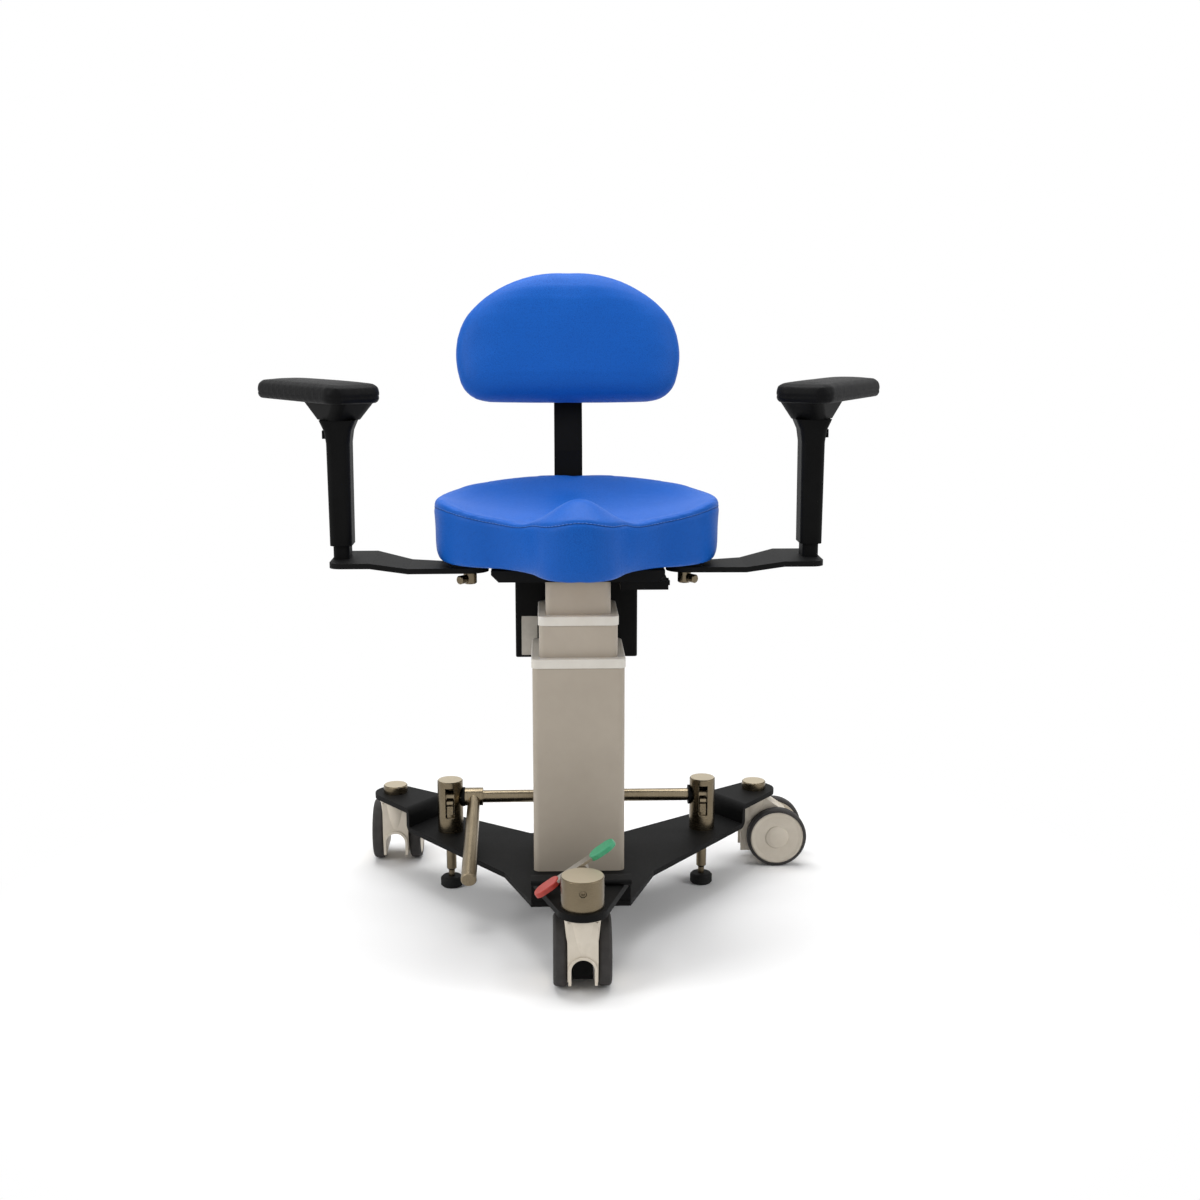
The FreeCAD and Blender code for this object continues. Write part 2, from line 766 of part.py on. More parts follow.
def brake_housings():
    housings = []
    bushes = []
    for side in (-1, 1):
        shell = turned(f"housing_shell{side}", [
            ("housing_bore", "0"),
            ("housing_radius", "0"),
            ("housing_radius", "housing_height - cap_edge"),
            ("housing_radius - cap_edge", "housing_height"),
            ("0", "housing_height"),
            ("0", "housing_height - housing_top_wall"),
            ("housing_bore", "housing_height - housing_top_wall"),
        ])
        put(shell, side * d.brake_x, d.brake_y, main_top)
        slot_corner = (
            side * d.brake_x - d.slot_width / 2,
            d.brake_y - d.housing_radius,
            main_top + d.housing_height - d.slot_drop - d.slot_height,
        )
        slot = box(f"housing_slot{side}", "slot_width", "housing_radius", "slot_height", slot_corner)
        hole_start = (side * (d.brake_x - d.housing_radius), d.brake_y, rod_z)
        hole_name = f"housing_hole{side}"
        hole = rod(hole_name, "bush_radius + running_gap", "housing_radius", hole_start, (side, 0, 0))
        housings.append(cut(f"brake_housing{side}", shell, slot, hole))
        bush = turned(f"brake_bush{side}", [
            ("rod_radius + running_gap", "-bush_flange"),
            ("bush_flange_radius", "-bush_flange"),
            ("bush_flange_radius", "-running_gap"),
            ("bush_radius", "-running_gap"),
            ("bush_radius", "housing_radius - housing_bore"),
            ("rod_radius + running_gap", "housing_radius - housing_bore"),
        ])
        face = side * (d.brake_x - d.housing_radius)
        bushes.append(put(bush, face, d.brake_y, rod_z, Rotation(Vector(0, 0, 1), Vector(side, 0, 0))))
    node(group("brake_housings", *housings), "brake_housings")
    node(group("brake_bushes", *bushes), "brake_bushes")


def brake_shaft():
    # Cross rod with a crank in each housing, and the hand lever beside the left housing
    half_rod = d.brake_x + d.housing_bore - d.rod_end_margin
    start = (-half_rod, d.brake_y, rod_z)
    rod_length = "2 * (brake_x + housing_bore - rod_end_margin)"
    members = [rod("cross_rod", "rod_radius", rod_length, start, (1, 0, 0))]
    for side in (-1, 1):
        inner = side * d.brake_x - d.crank_width / 2
        arm = box(
            f"crank_arm{side}", "crank_width", "crank_reach", "2 * crank_nose_radius",
            (0, -d.crank_reach, -d.crank_nose_radius),
        )
        nose = rod(f"crank_nose{side}", "crank_nose_radius", "crank_width", (0, -d.crank_reach, 0), (1, 0, 0))
        crank = fuse(f"crank{side}", arm, nose)
        members.append(put(crank, inner, d.brake_y, rod_z, Rotation(Vector(1, 0, 0), d.crank_droop)))
    node(fuse("brake_cross_rod", *members), "brake_cross_rod")
    lever_x = -(d.brake_x - d.housing_radius - d.bush_flange - d.clear_gap)
    hub = rod("lever_hub", "lever_hub_radius", "lever_hub_width", (lever_x, d.brake_y, rod_z), (1, 0, 0))
    handle = turned("lever_handle", [
        ("0", "0"),
        ("lever_root_radius", "0"),
        ("lever_root_radius", "lever_hub_radius + lever_root_radius"),
        ("lever_tip_radius", "lever_length - cap_edge"),
        ("lever_tip_radius - cap_edge", "lever_length"),
        ("0", "lever_length"),
    ])
    middle = lever_x + d.lever_hub_width / 2
    put(handle, middle, d.brake_y, rod_z, Rotation(Vector(1, 0, 0), 90 + d.lever_droop))
    bore_start = (lever_x, d.brake_y, rod_z)
    bore = rod("lever_bore", "rod_radius", "lever_hub_width", bore_start, (1, 0, 0))
    node(cut("brake_lever", fuse("lever_whole", hub, handle), bore), "brake_lever")


def brake_plungers():
    # Plunger under each crank: a guided head with a finger, a rod through the plate, a rubber foot
    droop = math.radians(d.crank_droop)
    finger_top = rod_z - d.crank_reach * math.sin(droop) - d.crank_nose_radius - d.clear_gap
    head_top = rod_z - d.rod_radius - d.plunger_stroke - d.plunger_room
    nose_y = d.crank_reach * math.cos(droop)
    head_radius = d.housing_bore - d.slide_gap
    for side, name in ((-1, "left"), (1, "right")):
        x = side * d.brake_x
        stem = turned(f"{name}_plunger_stem", [
            ("0", "foot_height / 2"),
            ("neck_radius", "foot_height / 2"),
            ("neck_radius", "foot_height + neck_height - cap_edge"),
            ("plunger_radius", "foot_height + neck_height + cap_edge"),
            ("plunger_radius", repr(head_top - d.plunger_head)),
            ("housing_bore - slide_gap", repr(head_top - d.plunger_head)),
            ("housing_bore - slide_gap", repr(head_top)),
            ("0", repr(head_top)),
        ])
        put(stem, x, d.brake_y)
        finger_depth = repr(head_radius - nose_y)
        finger_height = repr(finger_top - head_top + d.finger_root)
        finger_front = d.brake_y - head_radius + d.finger_inset
        finger_corner = (x - d.crank_width / 2, finger_front, head_top - d.finger_root)
        finger = box(f"{name}_finger", "crank_width", finger_depth, finger_height, finger_corner)
        node(fuse(f"{name}_plunger", stem, finger), f"{name}_plunger")
        foot = turned(f"{name}_brake_foot", [
            ("0", "0"),
            ("foot_radius - foot_edge", "0"),
            ("foot_radius", "foot_edge"),
            ("foot_radius", "foot_height - foot_edge"),
            ("foot_radius - foot_edge", "foot_height"),
            ("neck_radius + running_gap", "foot_height"),
            ("neck_radius + running_gap", "foot_height / 2"),
            ("0", "foot_height / 2"),
        ])
        node(put(foot, x, d.brake_y), f"{name}_brake_foot")


def stage_size(stage):
    # Outside width and depth of a column stage, each one step narrower per side
    return f"outer_width - {2 * stage} * stage_step", f"outer_depth - {2 * stage} * stage_step"


def tube(name, stage, height, floor):
    width, depth = stage_size(stage)
    outside = rounded_block(name + "_outside", width, depth, height, "tube_corner")
    inner_width = f"{width} - 2 * tube_wall"
    inner_depth = f"{depth} - 2 * tube_wall"
    inside = rounded_block(name + "_inside", inner_width, inner_depth, height, "tube_corner - tube_wall")
    inside.Placement.Base = Vector(0, 0, floor)
    return cut(name, outside, inside)


def collar(name, stage):
    # Plastic ring on a stage's top, with a guide hole for the next stage
    width, depth = stage_size(stage)
    next_width, next_depth = stage_size(stage + 1)
    ring = rounded_block(
        name + "_ring", f"{width} + 2 * collar_lip", f"{depth} + 2 * collar_lip", "collar_height",
        "tube_corner + collar_lip",
    )
    fillet(ring, "collar_edge", at_height(d.collar_height))
    hole = rounded_block(
        name + "_hole", f"{next_width} + 2 * clear_gap", f"{next_depth} + 2 * clear_gap", "collar_height",
        "tube_corner + clear_gap",
    )
    return cut(name, ring, hole)


def lift_column():
    outer_height = "outer_top - main_underside - plate_thickness"
    node(put(tube("column_outer_tube", 0, outer_height, 0), 0, 0, main_top), "column_outer_tube")
    node(put(collar("column_outer_collar", 0), 0, 0, d.outer_top), "column_outer_collar")
    middle = tube("column_middle_tube", 1, "middle_top - middle_bottom", 0)
    node(put(middle, 0, 0, d.middle_bottom), "column_middle_tube")
    node(put(collar("column_middle_collar", 1), 0, 0, d.middle_top), "column_middle_collar")
    shell = tube("inner_shell", 2, "carrier_bottom - inner_bottom", d.nut_thickness)
    thread = rod("spindle_thread", "spindle_radius + running_gap", "nut_thickness", (0, 0, 0))
    node(put(cut("column_inner_tube", shell, thread), 0, 0, d.inner_bottom), "column_inner_tube")
    motor = rounded_block("lift_motor", "motor_width", "motor_depth", "motor_height", "tube_corner")
    fillet(motor, "collar_edge", at_height(d.motor_height))
    node(put(motor, 0, 0, main_top), "lift_motor")
    spindle = rod("lift_spindle", "spindle_radius", "spindle_length", (0, 0, main_top + d.motor_height))
    node(spindle, "lift_spindle")


carrier_top = d.carrier_bottom + d.carrier_height
wing_top = carrier_top + d.wing_thickness


def seat_carrier():
    # Shallow channel on the column head, with side wings that hold the arm pivots
    half = [
        ("carrier_half_width - carrier_chamfer", "0"),
        ("carrier_half_width", "carrier_chamfer"),
        ("carrier_half_width", "carrier_height"),
    ]
    other = [(f"-({x})", z) for x, z in reversed(half)]
    channel = prism("carrier_channel", half + other, "carrier_depth")
    rear = d.carrier_depth - d.carrier_front
    put(channel, 0, rear, d.carrier_bottom, Rotation(Vector(1, 0, 0), 90))
    wing_corner = (-d.wing_half_width, -d.wing_front, carrier_top)
    wing = box("carrier_wing", "2 * wing_half_width", "wing_depth", "wing_thickness", wing_corner)
    node(fuse("seat_carrier", channel, wing), "seat_carrier")


def height_switch():
    # Switch box under the carrier's right end, with a rocker in its right face
    corner = (d.switch_x, -d.carrier_front, d.carrier_bottom - d.switch_height)
    case = box("switch_case", "switch_width", "switch_depth", "switch_height", corner)
    face = d.switch_x + d.switch_width
    middle_y = d.switch_depth / 2 - d.carrier_front
    middle_z = d.carrier_bottom - d.switch_height / 2
    reach_y = d.rocker_depth / 2 + d.clear_gap
    reach_z = d.rocker_height / 2 + d.clear_gap
    recess = box(
        "switch_recess", "rocker_sunk + 2 * rocker_tip", "rocker_depth + 2 * clear_gap",
        "rocker_height + 2 * clear_gap",
        (face - d.rocker_sunk - 2 * d.rocker_tip, middle_y - reach_y, middle_z - reach_z),
    )
    node(cut("switch_box", case, recess), "switch_box")
    outline = [
        ("-rocker_sunk", "-rocker_depth / 2 + rocker_tip"),
        ("0", "-rocker_depth / 2 + rocker_tip / 2"),
        ("rocker_proud", "-rocker_depth / 2 + rocker_tip"),
        ("rocker_proud - rocker_tip", "0"),
        ("rocker_proud", "rocker_depth / 2 - rocker_tip"),
        ("0", "rocker_depth / 2 - rocker_tip / 2"),
        ("-rocker_sunk", "rocker_depth / 2 - rocker_tip"),
    ]
    rocker = prism("height_rocker", outline, "rocker_height")
    node(put(rocker, face, middle_y, middle_z - d.rocker_height / 2), "height_rocker")


box_front = d.outer_depth / 2 + d.collar_lip + d.box_gap
box_top = d.carrier_bottom - d.bar_thickness


def control_box():
    # Closed shell behind the column, hung under the foot of the back bar, with the battery inside
    shell = rounded_block("control_shell", "box_width", "box_depth", "box_height", "box_corner")
    fillet(shell, "box_corner / 2", at_height(0))
    hollow = box(
        "control_hollow", "box_width - 2 * box_wall", "box_depth - 2 * box_wall", "box_height - 2 * box_wall",
        (-d.box_width / 2 + d.box_wall, -d.box_depth / 2 + d.box_wall, d.box_wall),
    )
    middle = box_front + d.box_depth / 2
    case = cut("control_box", shell, hollow)
    node(put(case, 0, middle, box_top - d.box_height), "control_box")
    battery_corner = (
        -d.battery_width / 2, middle - d.battery_depth / 2, box_top - d.box_height + d.box_wall,
    )
    battery = box("battery_pack", "battery_width", "battery_depth", "battery_height", battery_corner)
    node(battery, "battery_pack")


def arc(start, middle, end):
    return Part.Arc(start, middle, end).toShape()


def seat_plan(inset, z):
    # Closed plan: round nose between the thighs, hollow flanks, wide hips and a round rear
    right = [
        (0, -d.seat_nose), (d.nose_half_width * 0.7, -d.seat_nose * 0.93), (d.nose_half_width, -d.nose_side),
        (d.flank_x * 0.67, -d.flank_y * 1.45), (d.flank_x, -d.flank_y),
        (d.seat_half_width * 0.92, -d.flank_y / 2), (d.seat_half_width, d.widest_y),
        (d.seat_half_width * 0.97, d.hip_y * 0.58), (d.hip_x, d.hip_y),
        (d.hip_x * 0.56, d.seat_rear * 0.965), (0, d.seat_rear),
    ]
    narrow = 1 - inset / d.seat_half_width
    short = 1 - inset / d.seat_rear
    points = [Vector(x * narrow, y * short, z) for x, y in right]
    points += [Vector(-point.x, point.y, z) for point in reversed(points[:-1])]
    return Part.Wire([arc(*points[start:start + 3]) for start in range(0, len(points) - 1, 2)])


def seat_top(x, y):
    # Saddle: hollow at the hips, raised sides and rear, lower front edge and a pommel dome
    side = d.side_rise * abs(x / d.seat_half_width) ** 2.5
    rear = d.rear_rise * max(y / d.seat_rear, 0) ** 3
    front = d.front_drop * min(max(-y / d.flank_y, 0), 1) ** 2
    past = y + d.pommel_y
    spread = d.pommel_front_spread if past < 0 else d.pommel_rear_spread
    dome = math.exp(-((past / spread) ** 2) - (x / d.pommel_side_spread) ** 2)
    return d.bowl_height + side + rear - front + d.pommel_rise * dome


def seat():
    # Bulged side wall, cut off above by the saddle surface, with a recess for the pan
    levels = [(d.base_inset, 0), (d.base_inset / 4, 0.12), (0, 0.4), (d.base_inset / 5, 0.68)]
    levels += [(d.base_inset * 0.7, 0.88), (d.base_inset * 2, 1.05)]
    wall = doc.addObject("Part::Feature", "seat_wall")
    plans = [seat_plan(inset, level * d.seat_height) for inset, level in levels]
    wall.Shape = Part.makeLoft(plans, True, False)
    put(wall, 0, 0, wing_top)
    steps = [step / 8 for step in range(-8, 9)]
    reach_x = d.seat_half_width * 1.1
    reach_y = d.seat_nose * 1.1
    rows = [[(u * reach_x, v * reach_y) for v in steps] for u in steps]
    grid = [[Vector(x, y, seat_top(x, y)) for x, y in row] for row in rows]
    saddle = Part.BSplineSurface()
    saddle.interpolate(grid)
    below = doc.addObject("Part::Feature", "seat_below")
    below.Shape = saddle.toShape().extrude(Vector(0, 0, -2 * d.seat_height))
    put(below, 0, 0, wing_top)
    cushion = common("seat_form", wall, below)
    half = [
        ("pan_half_width", "pan_rear"),
        ("pan_half_width", "-pan_front"),
        ("pan_nose_half_width", "-flank_y"),
        ("pan_nose_half_width", "-pan_nose"),
    ]
    outline = half + [(f"-({x})", y) for x, y in reversed(half)]
    pan = fillet(prism("seat_pan", outline, "pan_thickness"), "pan_corner", upright)
    node(put(pan, 0, 0, wing_top), "seat_pan")
    grown = [(f"{x} + clear_gap", f"{y} - clear_gap" if y[0] == "-" else f"{y} + clear_gap") for x, y in half]
    grown_outline = grown + [(f"-({x})", y) for x, y in reversed(grown)]
    recess = prism("seat_recess", grown_outline, "pan_thickness + clear_gap")
    fillet(recess, "pan_corner", upright)
    put(recess, 0, 0, wing_top)
    node(cut("seat_cushion", cushion, recess), "seat_cushion")


def back_bar():
    # Flat bar bent up behind the seat and leaning back at the top
    lean = math.radians(d.back_lean)
    thick = d.bar_thickness
    turn = Vector(math.sin(lean), math.cos(lean), 0)
    out = Vector(math.cos(lean), -math.sin(lean), 0)
    stand_front = Vector(d.bar_stand, d.bar_bend, 0)
    stand_rear = Vector(d.bar_stand + thick, d.bar_bend - thick * math.tan(lean / 2), 0)
    top_front = stand_front + turn * d.bar_top
    top_rear = top_front + out * thick
    strip = [
        Vector(d.bar_foot, 0, 0), Vector(d.bar_stand + thick, 0, 0), stand_rear, top_rear, top_front,
        stand_front, Vector(d.bar_stand, thick, 0), Vector(d.bar_foot, thick, 0),
    ]
    bar = prism("back_bar", numbers(strip), "bar_width")
    heel = d.bar_stand + thick
    fillet(bar, "bar_bend_radius", lambda edge: upright(edge) and abs(edge.Vertexes[0].X - heel) < 0.001
           and abs(edge.Vertexes[0].Y) < 0.001)
    quarter = Rotation(Vector(0, 0, 1), 90) * Rotation(Vector(1, 0, 0), 90)
    node(put(bar, -d.back_offset - d.bar_width / 2, 0, box_top, quarter), "back_bar")


# Frame of the leaning part of the back bar: local Z along the bar, local Y to the rear
lean_turn = Rotation(Vector(1, 0, 0), -d.back_lean)
lean_origin = Vector(-d.back_offset, d.bar_stand, box_top + d.bar_bend)


def leaning(obj, x, y, z):
    place = lean_origin + lean_turn.multVec(Vector(x, y, z))
    return put(obj, place.x, place.y, place.z, lean_turn)


def back_wire(inset, y):
    # Half-moon outline: arched top, widest below the middle, round lower corners, nearly flat bottom
    wide = d.back_half_width - inset
    high = d.back_rise - inset
    low = d.back_fall - inset
    right = [
        (0, high), (wide * 0.56, high * 0.81), (wide * 0.9, high * 0.34),
        (wide, -low * 0.22), (wide * 0.975, -low * 0.58),
        (wide * 0.9, -low * 0.86), (wide * 0.7, -low * 0.985),
        (wide * 0.35, -low * 0.998), (0, -low),
    ]
    points = [Vector(x, y, z) for x, z in right]
    points += [Vector(-point.x, y, point.z) for point in reversed(points[:-1])]
    return Part.Wire([arc(*points[start:start + 3]) for start in range(0, len(points) - 1, 2)])


def backrest():
    # Sliding bracket on the bar, its knob, the board and the crowned cushion in front of it
    wall = d.bracket_wall
    front_gap = d.slide_gap
    outside = rectangle("bar_width + 2 * bracket_wall", "bar_thickness + 2 * bracket_wall")
    shell = prism("bracket_shell", outside, "bracket_height")
    inside = rectangle("bar_width + 2 * slide_gap", "bar_thickness + 2 * slide_gap")
    way = prism("bracket_way", inside, "bracket_height")
    stud_hole = rod("bracket_stud_hole", "knob_stud + running_gap", "bar_thickness + 2 * bracket_wall",
                    (0, 0, d.bracket_height / 2), (0, 1, 0))
    middle_y = d.bar_thickness / 2
    bracket = cut("back_bracket", shell, way, stud_hole)
    node(leaning(bracket, 0, middle_y, d.bracket_rise - d.bracket_height / 2), "back_bracket")
    knob = turned("back_knob", [
        ("0", "0"),
        ("knob_stud", "0"),
        ("knob_stud", "bracket_wall - slide_gap + clear_gap"),
        ("knob_radius", "bracket_wall - slide_gap + clear_gap"),
        ("knob_radius", "bracket_wall + knob_length - foot_edge"),
        ("knob_radius - foot_edge", "bracket_wall + knob_length"),
        ("0", "bracket_wall + knob_length"),
    ])
    rear = d.bar_thickness + front_gap
    place = lean_origin + lean_turn.multVec(Vector(0, rear, d.bracket_rise))
    knob_turn = lean_turn * Rotation(Vector(1, 0, 0), -90)
    node(put(knob, place.x, place.y, place.z, knob_turn), "back_knob")
    board_front = -wall - d.board_thickness
    board = doc.addObject("Part::Feature", "back_board")
    board.Shape = Part.Face(back_wire(d.board_inset, 0)).extrude(Vector(0, d.board_thickness, 0))
    node(leaning(board, 0, board_front, d.bracket_rise), "back_board")
    depth = d.back_depth
    levels = [(d.back_crown * 2.2, 0), (d.back_crown * 0.7, depth * 0.12), (0, depth * 0.42)]
    levels += [(d.back_crown * 0.25, depth * 0.72), (d.back_crown, depth * 0.94), (d.back_crown * 1.8, depth)]
    form = doc.addObject("Part::Feature", "back_form")
    form.Shape = Part.makeLoft([back_wire(inset, y) for inset, y in levels], True, True)
    node(leaning(form, 0, board_front - depth - d.clear_gap, d.bracket_rise), "back_cushion")


arm_top = carrier_top - d.clear_gap
bar_low = arm_top - d.bar_thickness


def arm_pivots():
    # Steel pivot pin under each wing with its clamp screw
    pins = []
    screws = []
    for side in (-1, 1):
        x = side * d.pivot_x
        pin = turned(f"pivot_pin{side}", [
            ("0", "0"),
            ("collar_pin_radius - cap_edge", "0"),
            ("collar_pin_radius", "cap_edge"),
            ("collar_pin_radius", "collar_pin_height"),
            ("pivot_stud_radius", "collar_pin_height"),
            ("pivot_stud_radius", "collar_pin_height + bar_thickness + 2 * clear_gap"),
            ("0", "collar_pin_height + bar_thickness + 2 * clear_gap"),
        ])
        pins.append(put(pin, x, -d.pivot_y, bar_low - d.clear_gap - d.collar_pin_height))
        turn = math.radians(d.clamp_screw_turn)
        heading = Vector(side * math.sin(turn), -math.cos(turn), 0)
        reach = d.collar_pin_radius + d.running_gap
        screw_z = bar_low - d.clear_gap - d.collar_pin_height / 2 - d.cap_edge
        screw = turned(f"clamp_screw{side}", [
            ("0", "0"),
            ("clamp_screw_radius - cap_edge", "0"),
            ("clamp_screw_radius", "cap_edge"),
            ("clamp_screw_radius", "clamp_screw_length - cap_edge"),
            ("clamp_screw_radius - cap_edge", "clamp_screw_length"),
            ("0", "clamp_screw_length"),
        ])
        start = heading * reach
        screw_turn = Rotation(Vector(0, 0, 1), heading)
        screws.append(put(screw, x + start.x, start.y - d.pivot_y, screw_z, screw_turn))
    node(group("arm_pivot_pins", *pins), "arm_pivot_pins")
    node(group("arm_clamp_screws", *screws), "arm_clamp_screws")


outer_top = arm_top + d.arm_joggle
sleeve_bottom = outer_top + d.sleeve_lift
sleeve_top = sleeve_bottom + d.sleeve_height
support_bottom = sleeve_top + d.clear_gap
pad_bottom = support_bottom + d.support_height


def arm_bar(name, side):
    # Flat bar from the pivot outwards, stepped up at its bends
    profile = [
        ("pivot_x - arm_root_radius", "0"),
        ("arm_inner_bend", "0"),
        ("arm_outer_bend", "arm_joggle"),
        ("arm_end_x", "arm_joggle"),
        ("arm_end_x", "arm_joggle + bar_thickness"),
        ("arm_outer_bend", "arm_joggle + bar_thickness"),
        ("arm_inner_bend", "bar_thickness"),
        ("pivot_x - arm_root_radius", "bar_thickness"),
    ]
    if side < 0:
        profile = [(f"-({x})", z) for x, z in reversed(profile)]
    strip = prism(name + "_strip", profile, "arm_front + arm_rear")
    put(strip, 0, d.arm_rear, bar_low, Rotation(Vector(1, 0, 0), 90))
    plan = [
        ("pivot_x", "-pivot_y - arm_root_radius"),
        ("arm_inner_bend", "-arm_front"),
        ("arm_end_x", "-arm_front"),
        ("arm_end_x", "arm_rear"),
        ("arm_outer_bend", "arm_rear"),
        ("arm_inner_bend", "arm_rear - arm_front"),
        ("pivot_x", "arm_root_radius - pivot_y"),
    ]
    if side < 0:
        plan = [(f"-({x})", y) for x, y in reversed(plan)]
    blade = prism(name + "_plan", plan, "2 * bar_thickness + arm_joggle")
    outer_end = d.arm_end_x - 0.001
    fillet(blade, "arm_end_corner", lambda edge: upright(edge) and abs(edge.Vertexes[0].X) > outer_end)
    put(blade, 0, 0, bar_low)
    centre = (side * d.pivot_x, -d.pivot_y, bar_low)
    root = rod(name + "_root", "arm_root_radius", "2 * bar_thickness + arm_joggle", centre)
    hole = rod(name + "_hole", "pivot_stud_radius + running_gap", "bar_thickness", centre)
    shape = common(name + "_shape", fuse(name + "_area", blade, root), strip)
    node(cut(name + "_bar", shape, hole), name + "_bar")


def rounded_section(name, width, depth, corner, z):
    # Sketch of a rectangle with round corners, centred on the local axis
    sketch = doc.addObject("Sketcher::SketchObject", name)
    x = width / 2
    y = depth / 2
    inner_x = x - corner
    inner_y = y - corner
    for index, (side_x, side_y) in enumerate(((1, 1), (-1, 1), (-1, -1), (1, -1))):
        centre = Vector(side_x * inner_x, side_y * inner_y, 0)
        circle = Part.Circle(centre, Vector(0, 0, 1), corner)
        start = index * math.pi / 2
        sketch.addGeometry(Part.ArcOfCircle(circle, start, start + math.pi / 2), False)
    straight = [
        (Vector(inner_x, y, 0), Vector(-inner_x, y, 0)), (Vector(-x, inner_y, 0), Vector(-x, -inner_y, 0)),
        (Vector(-inner_x, -y, 0), Vector(inner_x, -y, 0)), (Vector(x, -inner_y, 0), Vector(x, inner_y, 0)),
    ]
    for start, end in straight:
        sketch.addGeometry(Part.LineSegment(start, end), False)
    sketch.Placement.Base = Vector(0, 0, z)
    return sketch


def lofted(name, sections):
    # Solid through round-cornered sections given as width, depth, corner and height
    loft = doc.addObject("Part::Loft", name)
    levels = enumerate(sections)
    loft.Sections = [rounded_section(f"{name}_level{index}", *section) for index, section in levels]
    loft.Solid = True
    loft.Ruled = True
    doc.recompute()
    return loft


def armrest(name, side):
    x = side * d.post_x
    arm_bar(name, side)
    post = rounded_block(name + "_post", "post_width", "post_depth", "post_height", "post_corner")
    node(put(post, x, d.post_y, outer_top), name + "_post")
    corner = d.sleeve_corner
    button_level = d.sleeve_height - d.button_drop
    outside = lofted(name + "_sleeve_outside", [
        (d.sleeve_low_width, d.sleeve_depth, corner, 0),
        (d.sleeve_width, d.sleeve_depth, corner, button_level - d.sleeve_cap),
        (d.sleeve_neck_width, d.sleeve_neck_depth, corner, button_level + d.button_height / 2),
        (d.sleeve_flare_width, d.sleeve_flare_depth, corner, d.sleeve_height),
    ])
    way = rounded_block(
        name + "_way", "post_width + 2 * slide_gap", "post_depth + 2 * slide_gap",
        "sleeve_height - sleeve_cap", "post_corner + slide_gap",
    )
    face = d.sleeve_neck_width / 2
    window_corner = (0, -d.button_length / 2 - d.clear_gap, button_level - d.button_height / 2 - d.clear_gap)
    window = box(
        name + "_window", "sleeve_flare_width", "button_length + 2 * clear_gap", "button_height + 2 * clear_gap",
        window_corner,
    )
    if side < 0:
        window.Placement = FreeCAD.Placement(
            Vector(0, d.button_length / 2 + d.clear_gap, window_corner[2]), about_z(180)
        )
    sleeve = cut(name + "_sleeve", outside, way, window)
    node(put(sleeve, x, d.post_y, sleeve_bottom), name + "_sleeve")
    button_reach = "button_proud + button_sunk"
    button = rounded_block(name + "_button", button_reach, "button_length", "button_height", "cap_edge")
    button_x = x + side * (face + (d.button_proud - d.button_sunk) / 2)
    button_low = sleeve_bottom + button_level - d.button_height / 2
    node(put(button, button_x, d.post_y, button_low), name + "_button")
    toe = about_z(d.left_pad_toe if side < 0 else -d.right_pad_toe)
    support = lofted(name + "_pad_support", [
        (d.support_root_width, d.support_root_length, d.support_root_corner, 0),
        (d.support_width, d.support_length, d.support_corner, d.support_height - d.support_brim),
        (d.support_width, d.support_length, d.support_corner, d.support_height),
    ])
    node(put(support, x, d.post_y, support_bottom, toe), name + "_pad_support")
    draw = d.pad_draw
    pad = lofted(name + "_pad", [
        (d.pad_width - 2 * draw, d.pad_length - 2 * draw, d.pad_corner - draw, d.clear_gap),
        (d.pad_width - draw / 2, d.pad_length - draw / 2, d.pad_corner - draw / 4, d.pad_thickness * 0.2),
        (d.pad_width, d.pad_length, d.pad_corner, d.pad_thickness * 0.5),
        (d.pad_width - draw, d.pad_length - draw, d.pad_corner - draw / 2, d.pad_thickness * 0.84),
        (d.pad_width - 4 * draw, d.pad_length - 4 * draw, d.pad_corner - 2 * draw, d.pad_thickness),
    ])
    shift = toe.multVec(Vector(side * d.pad_out_shift, d.pad_back_shift, 0))
    node(put(pad, x + shift.x, d.post_y + shift.y, pad_bottom, toe), name + "_pad")


base_plate()
front_arm()
caster_stems()
caster("front_caster", 0, -d.front_reach, 0, True)
caster("left_caster", -d.rear_half_track, d.rear_reach, 0, False)
caster("right_caster", d.rear_half_track, d.rear_reach, -90, False)
lock_pedal()
brake_housings()
brake_shaft()
brake_plungers()
lift_column()
seat_carrier()
height_switch()
control_box()
seat()
back_bar()
backrest()
arm_pivots()
armrest("left_arm", -1)
armrest("right_arm", 1)
for obj in nodes:
    obj.Placement.Base = obj.Placement.Base + column
doc.recompute()

failed = [obj.Name for obj in doc.Objects if "Invalid" in obj.State or "Error" in obj.State]
failed += [obj.Label for obj in nodes if obj.Shape.isNull() or not obj.Shape.isValid()]
if failed:
    raise RuntimeError("failed: " + ", ".join(failed))

os.makedirs("parts", exist_ok=True)
for obj in nodes:
    obj.Shape.exportStep(f"parts/{obj.Label}.step")
    print(f"{obj.Label}: {len(obj.Shape.Solids)} solids, {obj.Shape.Volume:.0f} mm3")
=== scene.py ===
import json
import math

